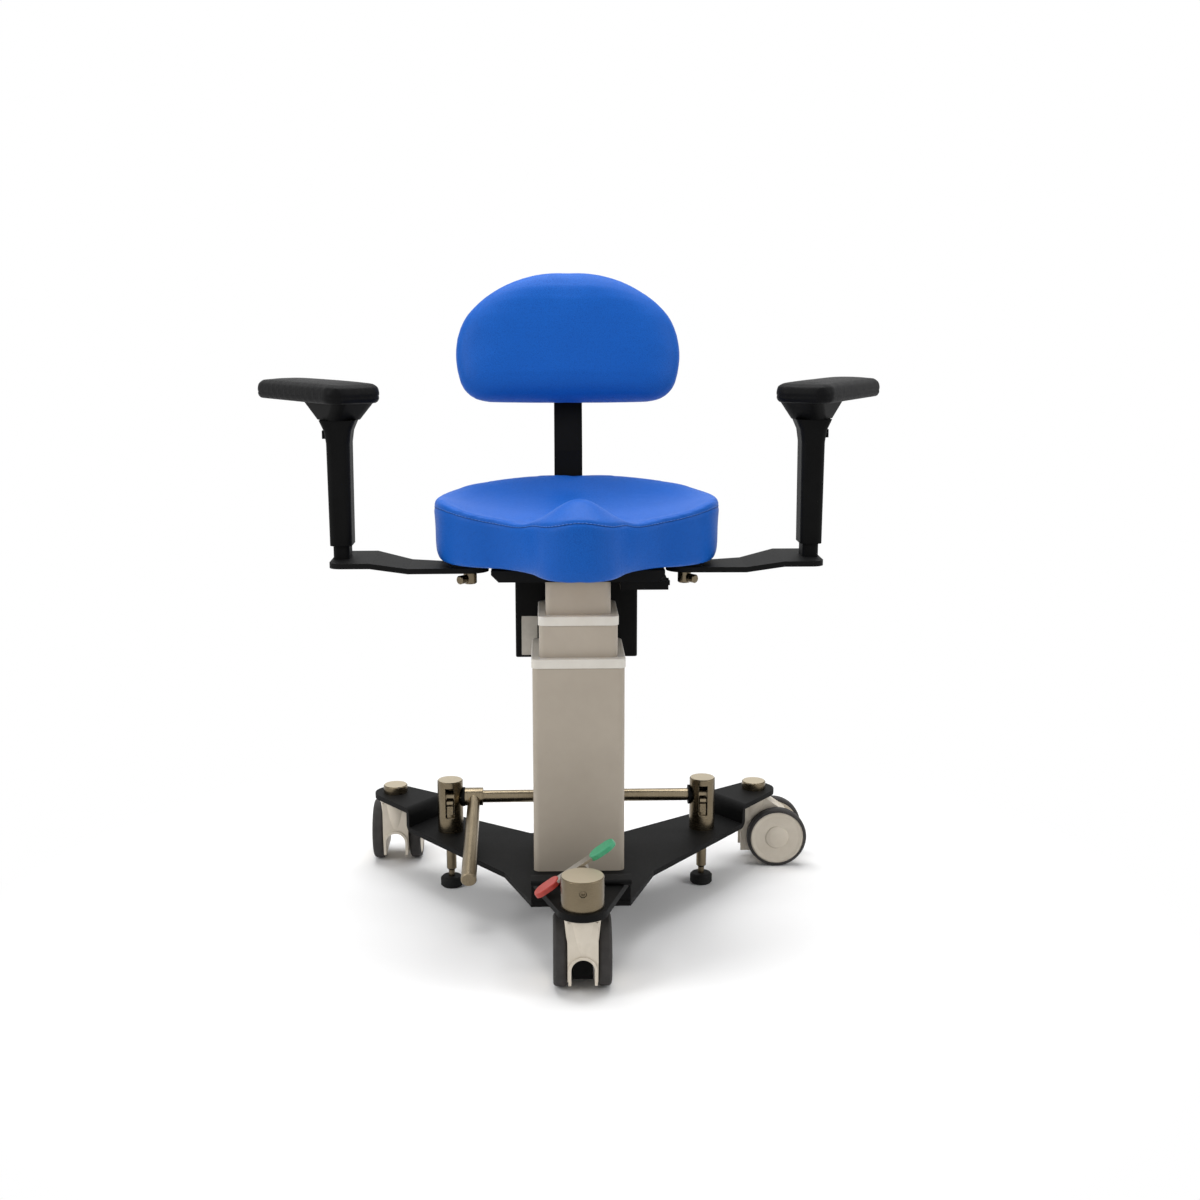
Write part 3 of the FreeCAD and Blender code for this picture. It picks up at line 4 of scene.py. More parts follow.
import bmesh
import bpy
import numpy as np
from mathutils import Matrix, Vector


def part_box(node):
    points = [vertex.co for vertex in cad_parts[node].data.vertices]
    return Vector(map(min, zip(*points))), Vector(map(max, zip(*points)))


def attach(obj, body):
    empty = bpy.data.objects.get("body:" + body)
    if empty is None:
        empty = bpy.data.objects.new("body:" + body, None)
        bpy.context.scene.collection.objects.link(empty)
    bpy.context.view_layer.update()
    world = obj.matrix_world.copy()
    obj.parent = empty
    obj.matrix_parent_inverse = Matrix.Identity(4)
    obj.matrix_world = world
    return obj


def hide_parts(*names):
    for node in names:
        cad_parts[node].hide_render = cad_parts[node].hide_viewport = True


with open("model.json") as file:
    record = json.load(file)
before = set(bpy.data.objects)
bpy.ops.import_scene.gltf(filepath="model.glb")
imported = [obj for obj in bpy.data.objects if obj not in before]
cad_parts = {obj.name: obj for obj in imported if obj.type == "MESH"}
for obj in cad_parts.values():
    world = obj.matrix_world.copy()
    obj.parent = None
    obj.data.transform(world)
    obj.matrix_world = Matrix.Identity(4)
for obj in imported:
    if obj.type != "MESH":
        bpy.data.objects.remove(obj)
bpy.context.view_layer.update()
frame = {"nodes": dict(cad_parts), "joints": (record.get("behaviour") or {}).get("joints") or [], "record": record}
nodes = frame["nodes"]
scene = bpy.context.scene
print("frame loaded")


def linear(hexText):
    # Hex colour in sRGB to linear light
    values = np.array([int(hexText[i:i + 2], 16) for i in (1, 3, 5)]) / 255
    shade = np.where(values <= 0.04045, values / 12.92, ((values + 0.055) / 1.055) ** 2.4)
    return (*shade.tolist(), 1.0)


def addNode(tree, kind, inputs=None, **settings):
    # One shader node with its settings; an input is a constant or another node's socket
    made = tree.nodes.new(kind)
    for name, value in settings.items():
        setattr(made, name, value)
    for key, value in (inputs or {}).items():
        if isinstance(value, bpy.types.NodeSocket):
            tree.links.new(value, made.inputs[key])
        else:
            made.inputs[key].default_value = value
    return made


def newMaterial(name):
    material = bpy.data.materials.new(name)
    material.use_nodes = True
    material.node_tree.nodes.clear()
    return material, material.node_tree


def closeMaterial(tree, shader):
    addNode(tree, "ShaderNodeOutputMaterial", {"Surface": shader.outputs[0]})


def surface(name, look):
    # Mottled colour, uneven gloss and a relief at the real grain size, given in millimetres
    material, tree = newMaterial(name)
    place = addNode(tree, "ShaderNodeTexCoord").outputs["Object"]
    stretch = look.get("stretch", (1, 1, 1))
    drawn = addNode(tree, "ShaderNodeMapping", {"Vector": place, "Scale": stretch}).outputs[0]
    mottle = addNode(tree, "ShaderNodeTexNoise", {
        "Vector": place, "Scale": 1000 / look["mottle"], "Detail": 4.0, "Roughness": 0.6,
    }).outputs[0]
    grain = addNode(tree, "ShaderNodeTexNoise", {
        "Vector": drawn, "Scale": 1000 / look["grain"], "Detail": 3.0, "Roughness": 0.55,
    }).outputs[0]
    spread = addNode(tree, "ShaderNodeMapRange", {0: mottle, 1: 0.3, 2: 0.7}).outputs[0]
    colour = addNode(tree, "ShaderNodeMix", {
        0: spread, 6: linear(look["colours"][0]), 7: linear(look["colours"][1]),
    }, data_type="RGBA").outputs[2]
    gloss = addNode(tree, "ShaderNodeMapRange", {
        0: grain, 1: 0.25, 2: 0.75, 3: look["roughness"][0], 4: look["roughness"][1],
    }).outputs[0]
    # Edges catch the light over a small radius, and are rubbed a little paler there
    rounded = addNode(tree, "ShaderNodeBevel", {"Radius": look["edge"] / 1000}, samples=4).outputs[0]
    facing = addNode(tree, "ShaderNodeNewGeometry").outputs["Normal"]
    along = addNode(tree, "ShaderNodeVectorMath", {
        0: rounded, 1: facing,
    }, operation="DOT_PRODUCT").outputs["Value"]
    edge = addNode(tree, "ShaderNodeMapRange", {0: along, 1: 0.96, 2: 0.8}).outputs[0]
    rubbed = addNode(tree, "ShaderNodeMath", {0: edge, 1: spread}, operation="MULTIPLY").outputs[0]
    worn = addNode(tree, "ShaderNodeMix", {
        0: rubbed, 6: colour, 7: linear(look["worn"]),
    }, data_type="RGBA").outputs[2]
    if "paintedTopHighlight" in look:
        # Upward faces, the cut ends of upright turned parts, get a rougher finish, and a paler colour that is
        # painted highlight of light from above
        upward = addNode(tree, "ShaderNodeSeparateXYZ", {0: facing}).outputs[2]
        ends = addNode(tree, "ShaderNodeMapRange", {0: upward, 1: 0.98, 2: 0.995}).outputs[0]
        gloss = addNode(tree, "ShaderNodeMapRange", {
            0: ends, 3: gloss, 4: look["facedRoughness"],
        }).outputs[0]
        # From here the colour also holds the painted highlight on upward faces
        worn = addNode(tree, "ShaderNodeMix", {
            0: ends, 6: worn, 7: linear(look["paintedTopHighlight"]),
        }, data_type="RGBA").outputs[2]
    relief = addNode(tree, "ShaderNodeBump", {
        "Height": grain, "Distance": look["depth"] / 1000, "Normal": rounded,
    }).outputs[0]
    shader = addNode(tree, "ShaderNodeBsdfPrincipled", {
        "Base Color": worn, "Roughness": gloss, "Normal": relief, "Metallic": look.get("metallic", 0.0),
        "Specular IOR Level": look.get("specular", 0.5),
    })
    closeMaterial(tree, shader)
    return material


# Matt black powder coat on bent steel plate, with the fine orange peel of sprayed powder
powderCoat = surface("blackPowderCoat", {
    "colours": ("#0a0a0a", "#101010"), "worn": "#262524", "edge": 0.9, "mottle": 60, "grain": 0.9,
    "depth": 0.05, "roughness": (0.5, 0.66), "specular": 0.08,
})
# Turned stainless steel, upright: tool marks run round the axis
turnedSteel = surface("turnedStainlessSteel", {
    "colours": ("#6a5f4d", "#746956"), "worn": "#9d917a", "edge": 0.5, "mottle": 40, "grain": 20,
    "stretch": (1, 1, 60), "depth": 0.001, "roughness": (0.2, 0.3), "metallic": 1.0,
    # Paler colour on upward faces: painted highlight of light from above
    "paintedTopHighlight": "#b3a995", "facedRoughness": 0.6,
})
# The same steel on the rod across the base and its hand lever
rodSteel = surface("drawnStainlessSteel", {
    "colours": ("#80745f", "#8a7e69"), "worn": "#a3977f", "edge": 0.5, "mottle": 40, "grain": 20,
    "stretch": (60, 1, 1), "depth": 0.001, "roughness": (0.24, 0.34), "metallic": 1.0,
})
# Steel strip of the pedal, ground along its length
stripSteel = surface("groundSteelStrip", {
    "colours": ("#8f897f", "#9d968b"), "worn": "#bcb5aa", "edge": 0.4, "mottle": 20, "grain": 12,
    "stretch": (1, 40, 40), "depth": 0.005, "roughness": (0.28, 0.4), "metallic": 1.0,
})
# Warm grey painted aluminium tubes of the lift column, with a fine satin texture
columnPaint = surface("greyColumnPaint", {
    "colours": ("#a2988a", "#aaa092"), "worn": "#b9b1a5", "edge": 0.8, "mottle": 90, "grain": 0.8,
    "depth": 0.03, "roughness": (0.4, 0.54), "specular": 0.35,
})
# Pale moulded collars of the column
collarPlastic = surface("paleCollarPlastic", {
    "colours": ("#cdc8be", "#d5d1c8"), "worn": "#dcd9d2", "edge": 0.8, "mottle": 30, "grain": 0.7,
    "depth": 0.02, "roughness": (0.38, 0.52), "specular": 0.4,
})
# Cast gear motor
castMetal = surface("castAluminium", {
    "colours": ("#8c8c8a", "#7b7b79"), "worn": "#a5a5a2", "edge": 0.8, "mottle": 12, "grain": 1.2,
    "depth": 0.15, "roughness": (0.45, 0.65), "metallic": 1.0,
})
# Moulded nylon of the caster hoods and discs
nylon = surface("paleNylon", {
    "colours": ("#c5bbab", "#cec5b6"), "worn": "#d6cfc3", "edge": 0.8, "mottle": 25, "grain": 0.8,
    "depth": 0.03, "roughness": (0.38, 0.52), "specular": 0.4,
})
# Soft grey tread
tread = surface("greyTreadRubber", {
    "colours": ("#343231", "#3d3b3a"), "worn": "#4b4846", "edge": 0.8, "mottle": 14, "grain": 0.6,
    "depth": 0.05, "roughness": (0.6, 0.8), "specular": 0.2,
})
# Black rubber of the brake feet
rubber = surface("blackRubber", {
    "colours": ("#101010", "#181817"), "worn": "#242322", "edge": 0.8, "mottle": 10, "grain": 0.7,
    "depth": 0.06, "roughness": (0.62, 0.82), "specular": 0.2,
})
# Black moulded plastic with a spark-eroded texture
blackPlastic = surface("blackTexturedPlastic", {
    "colours": ("#060606", "#0b0b0b"), "worn": "#181818", "edge": 0.9, "mottle": 40, "grain": 0.6,
    "depth": 0.05, "roughness": (0.46, 0.62), "specular": 0.07,
})
# Red and green pedal pads
redPlastic = surface("redPedalPlastic", {
    "colours": ("#9c3129", "#a83b32"), "worn": "#b8524a", "edge": 0.6, "mottle": 9, "grain": 0.6,
    "depth": 0.03, "roughness": (0.34, 0.48), "specular": 0.3,
})
greenPlastic = surface("greenPedalPlastic", {
    "colours": ("#348861", "#3f936b"), "worn": "#62ab88", "edge": 0.6, "mottle": 9, "grain": 0.6,
    "depth": 0.03, "roughness": (0.34, 0.48), "specular": 0.3,
})
# Veneer along X, with growth lines a few millimetres apart
plywood = surface("birchPlywood", {
    "colours": ("#b98f5d", "#cda878"), "worn": "#d6b78c", "edge": 0.6, "mottle": 35, "grain": 30,
    "stretch": (1, 12, 12), "depth": 0.05, "roughness": (0.5, 0.7),
})
# Blank white film label
labelFilm = surface("whiteLabelFilm", {
    "colours": ("#b4aea4", "#bdb8ae"), "worn": "#c8c3ba", "edge": 0.3, "mottle": 8, "grain": 0.5,
    "depth": 0.01, "roughness": (0.3, 0.45), "specular": 0.3,
})


def vinyl(name, look):
    # Embossed leather grain: cell borders sunk between pebbles, over a finer noise
    material, tree = newMaterial(name)
    place = addNode(tree, "ShaderNodeTexCoord").outputs["Object"]
    warp = addNode(tree, "ShaderNodeTexNoise", {
        "Vector": place, "Scale": 1000 / (3 * look["grain"]), "Detail": 2.0,
    })
    bent = addNode(tree, "ShaderNodeMix", {
        0: look["warp"] / 1000, 4: place, 5: warp.outputs["Color"],
    }, data_type="VECTOR").outputs[1]
    cells = addNode(tree, "ShaderNodeTexVoronoi", {
        "Vector": bent, "Scale": 1000 / look["grain"],
    }, feature="DISTANCE_TO_EDGE").outputs[0]
    pebble = addNode(tree, "ShaderNodeMapRange", {
        0: cells, 1: 0.0, 2: 0.25,
    }, interpolation_type="SMOOTHSTEP").outputs[0]
    broad = addNode(tree, "ShaderNodeTexNoise", {
        "Vector": place, "Scale": 1000 / look["mottle"], "Detail": 4.0, "Roughness": 0.55,
    }).outputs[0]
    spread = addNode(tree, "ShaderNodeMapRange", {0: broad, 1: 0.3, 2: 0.7}).outputs[0]
    face = addNode(tree, "ShaderNodeMix", {
        0: spread, 6: linear(look["colours"][0]), 7: linear(look["colours"][1]),
    }, data_type="RGBA").outputs[2]
    # The sunk cell borders get a darker colour: painted shade in the creases of the grain
    colour = addNode(tree, "ShaderNodeMix", {
        0: pebble, 6: linear(look["paintedCreaseShade"]), 7: face,
    }, data_type="RGBA").outputs[2]
    gloss = addNode(tree, "ShaderNodeMapRange", {
        0: pebble, 3: look["roughness"][1], 4: look["roughness"][0],
    }).outputs[0]
    relief = addNode(tree, "ShaderNodeBump", {"Height": pebble, "Distance": look["depth"] / 1000}).outputs[0]
    slack = addNode(tree, "ShaderNodeBump", {
        "Height": broad, "Distance": look["slack"] / 1000, "Normal": relief,
    }).outputs[0]
    shader = addNode(tree, "ShaderNodeBsdfPrincipled", {
        "Base Color": colour, "Roughness": gloss, "Normal": slack, "Specular IOR Level": look["specular"],
    })
    closeMaterial(tree, shader)
    return material


# Blue upholstery vinyl; the grain is drawn at 1.6 mm, a little coarser than life, so that it shows
blueVinyl = vinyl("blueUpholsteryVinyl", {
    "colours": ("#0a57b2", "#0f5dba"), "paintedCreaseShade": "#094ca0", "mottle": 80, "grain": 1.6,
    "depth": 0.06, "slack": 0.5, "warp": 0.6, "roughness": (0.42, 0.56), "specular": 0.16,
})
# Skinned foam of the arm pads, finely grained
padSkin = vinyl("blackPadSkin", {
    "colours": ("#080809", "#0d0d0e"), "paintedCreaseShade": "#050506", "mottle": 50, "grain": 1.2,
    "depth": 0.05, "slack": 0.3, "warp": 0.6, "roughness": (0.44, 0.58), "specular": 0.08,
})
# Polyester sewing thread
thread = surface("paleBlueThread", {
    "colours": ("#4f80d0", "#6490d9"), "worn": "#7ea4e0", "edge": 0.1, "mottle": 3, "grain": 0.5,
    "depth": 0.05, "roughness": (0.5, 0.7), "specular": 0.3,
})
# Closed join between two panels of the cover, its darker colour painted shade of the sunk seam
paintedSeamShade = surface("paintedShadeVinylJoin", {
    "colours": ("#0c3470", "#103c7c"), "worn": "#164890", "edge": 0.1, "mottle": 6, "grain": 0.8,
    "depth": 0.03, "roughness": (0.55, 0.7), "specular": 0.15,
})

slotMaterials = {
    "black_steel": powderCoat, "satin_steel": turnedSteel, "grey_aluminium": columnPaint,
    "motor_casting": castMetal, "pale_plastic": nylon, "tyre_grey": tread, "black_rubber": rubber,
    "black_plastic": blackPlastic, "red_plastic": redPlastic, "green_plastic": greenPlastic,
    "blue_vinyl": blueVinyl, "black_vinyl": padSkin, "plywood": plywood,
}
nodeMaterials = {
    "brake_cross_rod": rodSteel, "brake_lever": rodSteel, "pedal_strip": stripSteel,
    "column_outer_collar": collarPlastic, "column_middle_collar": collarPlastic,
}
for part in frame["record"]["subparts"]:
    mesh = nodes[part["node"]].data
    chosen = nodeMaterials.get(part["node"], slotMaterials[part["material_slot"]])
    for index in range(len(mesh.materials)):
        mesh.materials[index] = chosen
print("materials assigned")


def readPoints(mesh):
    flat = np.empty(len(mesh.vertices) * 3, np.float32)
    mesh.vertices.foreach_get("co", flat)
    return flat.reshape(-1, 3).astype(float)


def writePoints(mesh, points):
    mesh.vertices.foreach_set("co", points.astype(np.float32).ravel())
    mesh.update()


def readNormals(mesh):
    flat = np.empty(len(mesh.vertices) * 3, np.float32)
    mesh.vertex_normals.foreach_get("vector", flat)
    return flat.reshape(-1, 3).astype(float)


def readEdges(mesh):
    flat = np.empty(len(mesh.edges) * 2, np.int32)
    mesh.edges.foreach_get("vertices", flat)
    return flat.reshape(-1, 2)


def addPiece(mesh, body, material):
    # A new object with the name of its mesh
    piece = bpy.data.objects.new(mesh.name, mesh)
    scene.collection.objects.link(piece)
    mesh.materials.append(material)
    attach(piece, body)


def bakeModifiers(piece):
    graph = bpy.context.evaluated_depsgraph_get()
    mesh = bpy.data.meshes.new_from_object(piece.evaluated_get(graph))
    piece.modifiers.clear()
    piece.data = mesh


def meanAround(values, edges):
    # Mean of the neighbours' values at each point
    count = np.bincount(edges.ravel(), minlength=len(values))
    ends = np.concatenate([edges[:, 0], edges[:, 1]])
    others = np.concatenate([edges[:, 1], edges[:, 0]])
    columns = values.reshape(len(values), -1).T
    total = np.stack([np.bincount(ends, column[others], len(values)) for column in columns], axis=1)
    return (total / count[:, None]).reshape(values.shape)


def relax(points, edges, rounds):
    # Each point moves halfway to its neighbours' mean, then as far back, so that the form keeps its size
    there, back = 0.5, -0.52
    for step in range(rounds):
        points = points + (back if step % 2 else there) * (meanAround(points, edges) - points)
    return points


def soften(values, edges, rounds):
    # Each value moves halfway to the mean of its neighbours
    for step in range(rounds):
        values = values + 0.5 * (meanAround(values, edges) - values)
    return values


def slices(points):
    # Groups of about forty points, to keep tables of distances small
    return np.array_split(points, max(1, len(points) // 40))


def nearest(points, line):
    # Distance from each point to the closest point of a line
    best = np.full(len(points), np.inf)
    for part in slices(line):
        gap = np.linalg.norm(points[:, None, :] - part[None, :, :], axis=2).min(axis=1)
        best = np.minimum(best, gap)
    return best


weldGap = 0.00002


def weldedMesh(name, nodeName):
    # The CAD solid's own form, its triangles joined at their corners
    form = bmesh.new()
    form.from_mesh(nodes[nodeName].data)
    bmesh.ops.remove_doubles(form, verts=form.verts, dist=weldGap)
    mesh = bpy.data.meshes.new(name)
    form.to_mesh(mesh)
    form.free()
    return mesh


def softNet(mesh, look):
    # A closed form as an even net of quads
    piece = bpy.data.objects.new(mesh.name, mesh)
    scene.collection.objects.link(piece)
    net = piece.modifiers.new("net", "REMESH")
    net.mode = "VOXEL"
    net.voxel_size = look["voxel"]
    bakeModifiers(piece)
    mesh = piece.data
    writePoints(mesh, relax(readPoints(mesh), readEdges(mesh), look["rounds"]))
    return piece


# Settings that all the blown-up covers share
clothLook = {"quality": 6, "mass": 0.3, "bending": 0.5, "frames": 20}


def inflate(piece, held, look):
    # Cover pulled in a little, then blown up from inside; points in the held mask stay, none passes the cap.
    # Only the swelling along the surface normal is kept, evened out as a taut cover does
    mesh = piece.data
    formed = readPoints(mesh)
    normals = readNormals(mesh)
    start = formed - normals * look["slack"] * ~held[:, None]
    writePoints(mesh, start)
    grip = piece.vertex_groups.new(name="held")
    grip.add(np.flatnonzero(held).tolist(), 1.0, "REPLACE")
    cover = piece.modifiers.new("cover", "CLOTH")
    settings = cover.settings
    settings.quality = clothLook["quality"]
    settings.mass = clothLook["mass"]
    settings.tension_stiffness = look["stiffness"]
    settings.compression_stiffness = look["stiffness"]
    settings.bending_stiffness = clothLook["bending"]
    settings.use_pressure = True
    settings.uniform_pressure_force = look["pressure"]
    settings.vertex_group_mass = "held"
    settings.effector_weights.gravity = 0
    cover.point_cache.frame_start = 1
    cover.point_cache.frame_end = clothLook["frames"]
    for step in range(clothLook["frames"]):
        scene.frame_set(step + 1)
    graph = bpy.context.evaluated_depsgraph_get()
    blown = readPoints(piece.evaluated_get(graph).data)
    piece.modifiers.clear()
    piece.vertex_groups.clear()
    scene.frame_set(1)
    swelling = np.sum((blown - start) * normals, axis=1)
    swelling = look["cap"] * np.tanh(swelling / look["cap"])
    offset = np.where(held, 0.0, swelling - look["slack"])
    offset = soften(offset, readEdges(mesh), look["evened"])
    print(piece.name, "swelling in mm", np.round([offset.min() * 1000, offset.max() * 1000], 2))
    writePoints(mesh, formed + normals * offset[:, None])


def refine(piece):
    finer = piece.modifiers.new("finer", "SUBSURF")
    finer.levels = finer.render_levels = 1
    bakeModifiers(piece)


def dressSoft(piece, nodeName, body, material):
    piece.data.materials.clear()
    piece.data.materials.append(material)
    piece.data.shade_smooth()
    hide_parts(nodeName)
    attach(piece, body)
    print(piece.name, len(piece.data.polygons), "faces")


def sectionPoints(corners, facing, middle, turn):
    # Where a plane through the middle cuts the triangles: reach, height, upward and outward share of the face
    ahead = np.array([math.cos(turn), math.sin(turn)])
    flat = corners[:, :, :2] - middle
    aside = flat @ np.array([-ahead[1], ahead[0]])
    spots = np.stack([flat @ ahead, corners[:, :, 2]], axis=-1)
    slopes = np.column_stack([facing[:, 2], facing[:, :2] @ ahead])
    found = []
    for start, end in ((0, 1), (1, 2), (2, 0)):
        cut = (aside[:, start] < 0) != (aside[:, end] < 0)
        share = (aside[cut, start] / (aside[cut, start] - aside[cut, end]))[:, None]
        at = spots[cut, start] + share * (spots[cut, end] - spots[cut, start])
        found.append(np.column_stack([at, slopes[cut]]))
    return np.vstack(found)


def upperProfile(found, look):
    # One section in order: from the middle along the face to the rim, then down the wall to the rear edge
    face = found[found[:, 2] > look["steep"]]
    face = face[np.argsort(face[:, 0])]
    wall = found[(abs(found[:, 2]) <= look["steep"]) & (found[:, 3] > 0) & (found[:, 0] > 0)]
    wall = wall[np.argsort(wall[:, 1])]
    rimReach, rimHeight = face[-1, :2]
    reach = np.linspace(0, rimReach, look["faceRows"])
    height = np.linspace(rimHeight, wall[0, 1], look["wallRows"] + 1)[1:]
    onFace = np.column_stack([reach, np.interp(reach, face[:, 0], face[:, 1])])
    onWall = np.column_stack([np.interp(height, wall[:, 1], wall[:, 0]), height])
    return np.vstack([onFace, onWall])


def underProfile(found, edgeReach, look):
    # The rear of a section from its edge to the middle, with any hollow in it
    base = found[found[:, 2] < -look["steep"]]
    base = base[np.argsort(base[:, 0])]
    reach = np.linspace(edgeReach, 0, look["baseRows"] + 1)[1:]
    return np.column_stack([reach, np.interp(reach, base[:, 0], base[:, 1])])


def sections(nodeName, axes, look):
    # A solid cut round its middle, evened from cut to cut; axes are two flat ways and the way the face looks
    mesh = nodes[nodeName].data
    mesh.calc_loop_triangles()
    order = np.empty(len(mesh.loop_triangles) * 3, np.int32)
    mesh.loop_triangles.foreach_get("vertices", order)
    corners = readPoints(mesh)[order.reshape(-1, 3)] @ np.transpose(axes)
    facing = np.cross(corners[:, 1] - corners[:, 0], corners[:, 2] - corners[:, 0])
    facing /= np.maximum(np.linalg.norm(facing, axis=1, keepdims=True), 1e-12)
    middle = (corners.min(axis=(0, 1)) + corners.max(axis=(0, 1)))[:2] / 2
    turns = np.linspace(0, 2 * math.pi, look["columns"], endpoint=False)
    cuts = [sectionPoints(corners, facing, middle, turn) for turn in turns]
    profiles = np.array([upperProfile(found, look) for found in cuts])
    for step in range(look["turnRounds"]):
        profiles = profiles / 2 + (np.roll(profiles, 1, axis=0) + np.roll(profiles, -1, axis=0)) / 4
    return profiles, cuts, middle


def fromRim(profiles, look):
    # Length along each profile, counted from its rim and negative on the face
    along = np.cumsum(np.linalg.norm(np.diff(profiles, axis=1, prepend=profiles[:, :1]), axis=2), axis=1)
    return along - along[:, look["faceRows"] - 1, None]


def rollRim(profiles, rolled, look):
    # Profiles softened near the rim by the share given for each, then filled out by a part of the loss there
    rim = look["faceRows"] - 1
    near = np.exp(-((fromRim(profiles, look) / look["rollWidth"]) ** 2))[..., None]
    share = 0.5 * rolled[:, None, None] * near[:, 1:-1]
    sharp = profiles
    for step in range(look["rollRounds"]):
        between = (profiles[:, 2:] + profiles[:, :-2]) / 2
        inner = profiles[:, 1:-1] + share * (between - profiles[:, 1:-1])
        profiles = np.concatenate([profiles[:, :1], inner, profiles[:, -1:]], axis=1)
    return profiles + look["fullness"] * near * (sharp - profiles)[:, rim, None]


def turnedRound(profiles, middle, axes):
    # Reach and height of each profile turned to its place round the middle
    turns = np.linspace(0, 2 * math.pi, len(profiles), endpoint=False)
    ahead = np.column_stack([np.cos(turns), np.sin(turns)])
    flat = middle + profiles[..., :1] * ahead[:, None]
    return np.concatenate([flat, profiles[..., 1:]], axis=-1) @ np.asarray(axes)


def closedForm(name, profiles, cuts, middle, axes, look):
    under = np.array([underProfile(found, edge, look) for found, edge in zip(cuts, profiles[:, -1, 0])])
    grid = turnedRound(np.concatenate([profiles, under], axis=1), middle, axes)
    grid[:, 0] = grid[:, 0].mean(axis=0)
    grid[:, -1] = grid[:, -1].mean(axis=0)
    return roundMesh(name, grid)


def evenLine(ring, spacing):
    # A closed line with its points spaced evenly
    ring = np.vstack([ring, ring[:1]])
    along = np.concatenate([[0], np.cumsum(np.linalg.norm(np.diff(ring, axis=0), axis=1))])
    steps = np.linspace(0, along[-1], int(along[-1] / spacing), endpoint=False)
    return np.column_stack([np.interp(steps, along, ring[:, axis]) for axis in range(3)])


def roundMesh(name, grid):
    # Profiles side by side, each joined to the next all the way round
    columns, rows = grid.shape[:2]
    column = np.arange(columns)[:, None] * rows
    after = (np.arange(columns)[:, None] + 1) % columns * rows
    row = np.arange(rows - 1)[None, :]
    quads = np.stack([column + row, column + row + 1, after + row + 1, after + row], axis=-1).reshape(-1, 4)
    mesh = bpy.data.meshes.new(name)
    mesh.from_pydata(grid.reshape(-1, 3).tolist(), [], quads.tolist())
    return mesh


def tubeMesh(name, lines, radius, sides):
    # Round tubes along lines of equal point count, with tapered ends when a radius is given per point
    lines = np.asarray(lines, float)
    runs, count = lines.shape[:2]
    ahead = np.gradient(lines, axis=1)
    ahead /= np.linalg.norm(ahead, axis=2, keepdims=True)
    side = np.cross(ahead, np.array([0.0, 0.0, 1.0]))
    side /= np.linalg.norm(side, axis=2, keepdims=True)
    up = np.cross(side, ahead)
    turn = np.linspace(0, 2 * math.pi, sides, endpoint=False)
    reach = np.broadcast_to(radius, (count,))[None, :, None, None]
    ring = side[:, :, None] * np.cos(turn)[:, None] + up[:, :, None] * np.sin(turn)[:, None]
    points = (lines[:, :, None] + ring * reach).reshape(-1, 3)
    first = np.arange(runs)[:, None, None] * count * sides
    row = np.arange(count - 1)[None, :, None] * sides
    column = np.arange(sides)[None, None, :]
    after = (column + 1) % sides
    quads = np.stack([first + row + column, first + row + after, first + row + sides + after,
                      first + row + sides + column], axis=-1).reshape(-1, 4)
    mesh = bpy.data.meshes.new(name)
    mesh.from_pydata(points.tolist(), [], quads[:, ::-1].tolist())
    mesh.shade_smooth()
    return mesh


def onSurface(points, mesh):
    # Closest mesh vertex to each point, with its normal
    vertices = readPoints(mesh)
    normals = readNormals(mesh)
    index = np.concatenate([
        np.linalg.norm(vertices[None, :, :] - part[:, None, :], axis=2).argmin(axis=1)
        for part in slices(points)
    ])
    return vertices[index], normals[index]


def laidOn(points, mesh):
    # Each point moved along the normal of the surface that it is nearest to, until it lies on it
    spots, normals = onSurface(points, mesh)
    return points + normals * np.sum((spots - points) * normals, axis=1, keepdims=True), normals


def smoothStep(value):
    value = np.clip(value, 0, 1)
    return value * value * (3 - 2 * value)


# Seat: saddle cover sewn along the rim to a side band, the band held under the base edge
seatLook = {
    "voxel": 0.005, "rounds": 8, "slack": 0.0015, "stiffness": 25, "pressure": 4, "cap": 0.0025, "evened": 16,
    "columns": 360, "faceRows": 70, "wallRows": 36, "baseRows": 40, "steep": 0.7, "turnRounds": 24,
    "baseHold": 0.018, "rearFrom": -0.11, "rearTo": 0.06, "rollWidth": 0.03, "rollRounds": 60,
    "frontRoll": 0.4, "fullness": 1.1, "flankFrom": 0.06, "flankTo": 0.12, "flankFill": 0.005,
    "frontDrop": 0.004, "rearDrop": 0.014, "stepLength": 0.0025, "seamHold": 0.004, "seamWidth": 0.0032,
    "seamDepth": 0.0014, "joinRadius": 0.0007, "joinSides": 6, "stitchPitch": 0.0055, "stitchLength": 0.0034,
    "stitchAside": 0.0019, "threadRadius": 0.0004, "threadTip": 0.35, "threadSides": 5,
}
upright = ((1, 0, 0), (0, 1, 0), (0, 0, 1))


def rearShare(points, look):
    # 0 in front, 1 at the rear, where the cover rolls over the rim and the join lies lower on the band
    return smoothStep((points[:, 1] - look["rearFrom"]) / (look["rearTo"] - look["rearFrom"]))


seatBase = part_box("seat_cushion")[0].z
profiles, cuts, seatMiddle = sections("seat_cushion", upright, seatLook)
rimRow = seatLook["faceRows"] - 1
seatRim = turnedRound(profiles, seatMiddle, upright)[:, rimRow]
rear = rearShare(seatRim, seatLook)
# The front edge beside the pommel is stuffed a little fuller
flankWidth = seatLook["flankTo"] - seatLook["flankFrom"]
aside = (abs(seatRim[:, 0] - seatMiddle[0]) - seatLook["flankFrom"]) / flankWidth
filled = seatLook["flankFill"] * smoothStep(aside) * (1 - rear)
profiles[..., 1] += filled[:, None] * np.exp(-((fromRim(profiles, seatLook) / seatLook["rollWidth"]) ** 2))
profiles = rollRim(profiles, seatLook["frontRoll"] + (1 - seatLook["frontRoll"]) * rear, seatLook)
seat = softNet(closedForm("seatCover", profiles, cuts, seatMiddle, upright, seatLook), seatLook)
seatPoints = readPoints(seat.data)

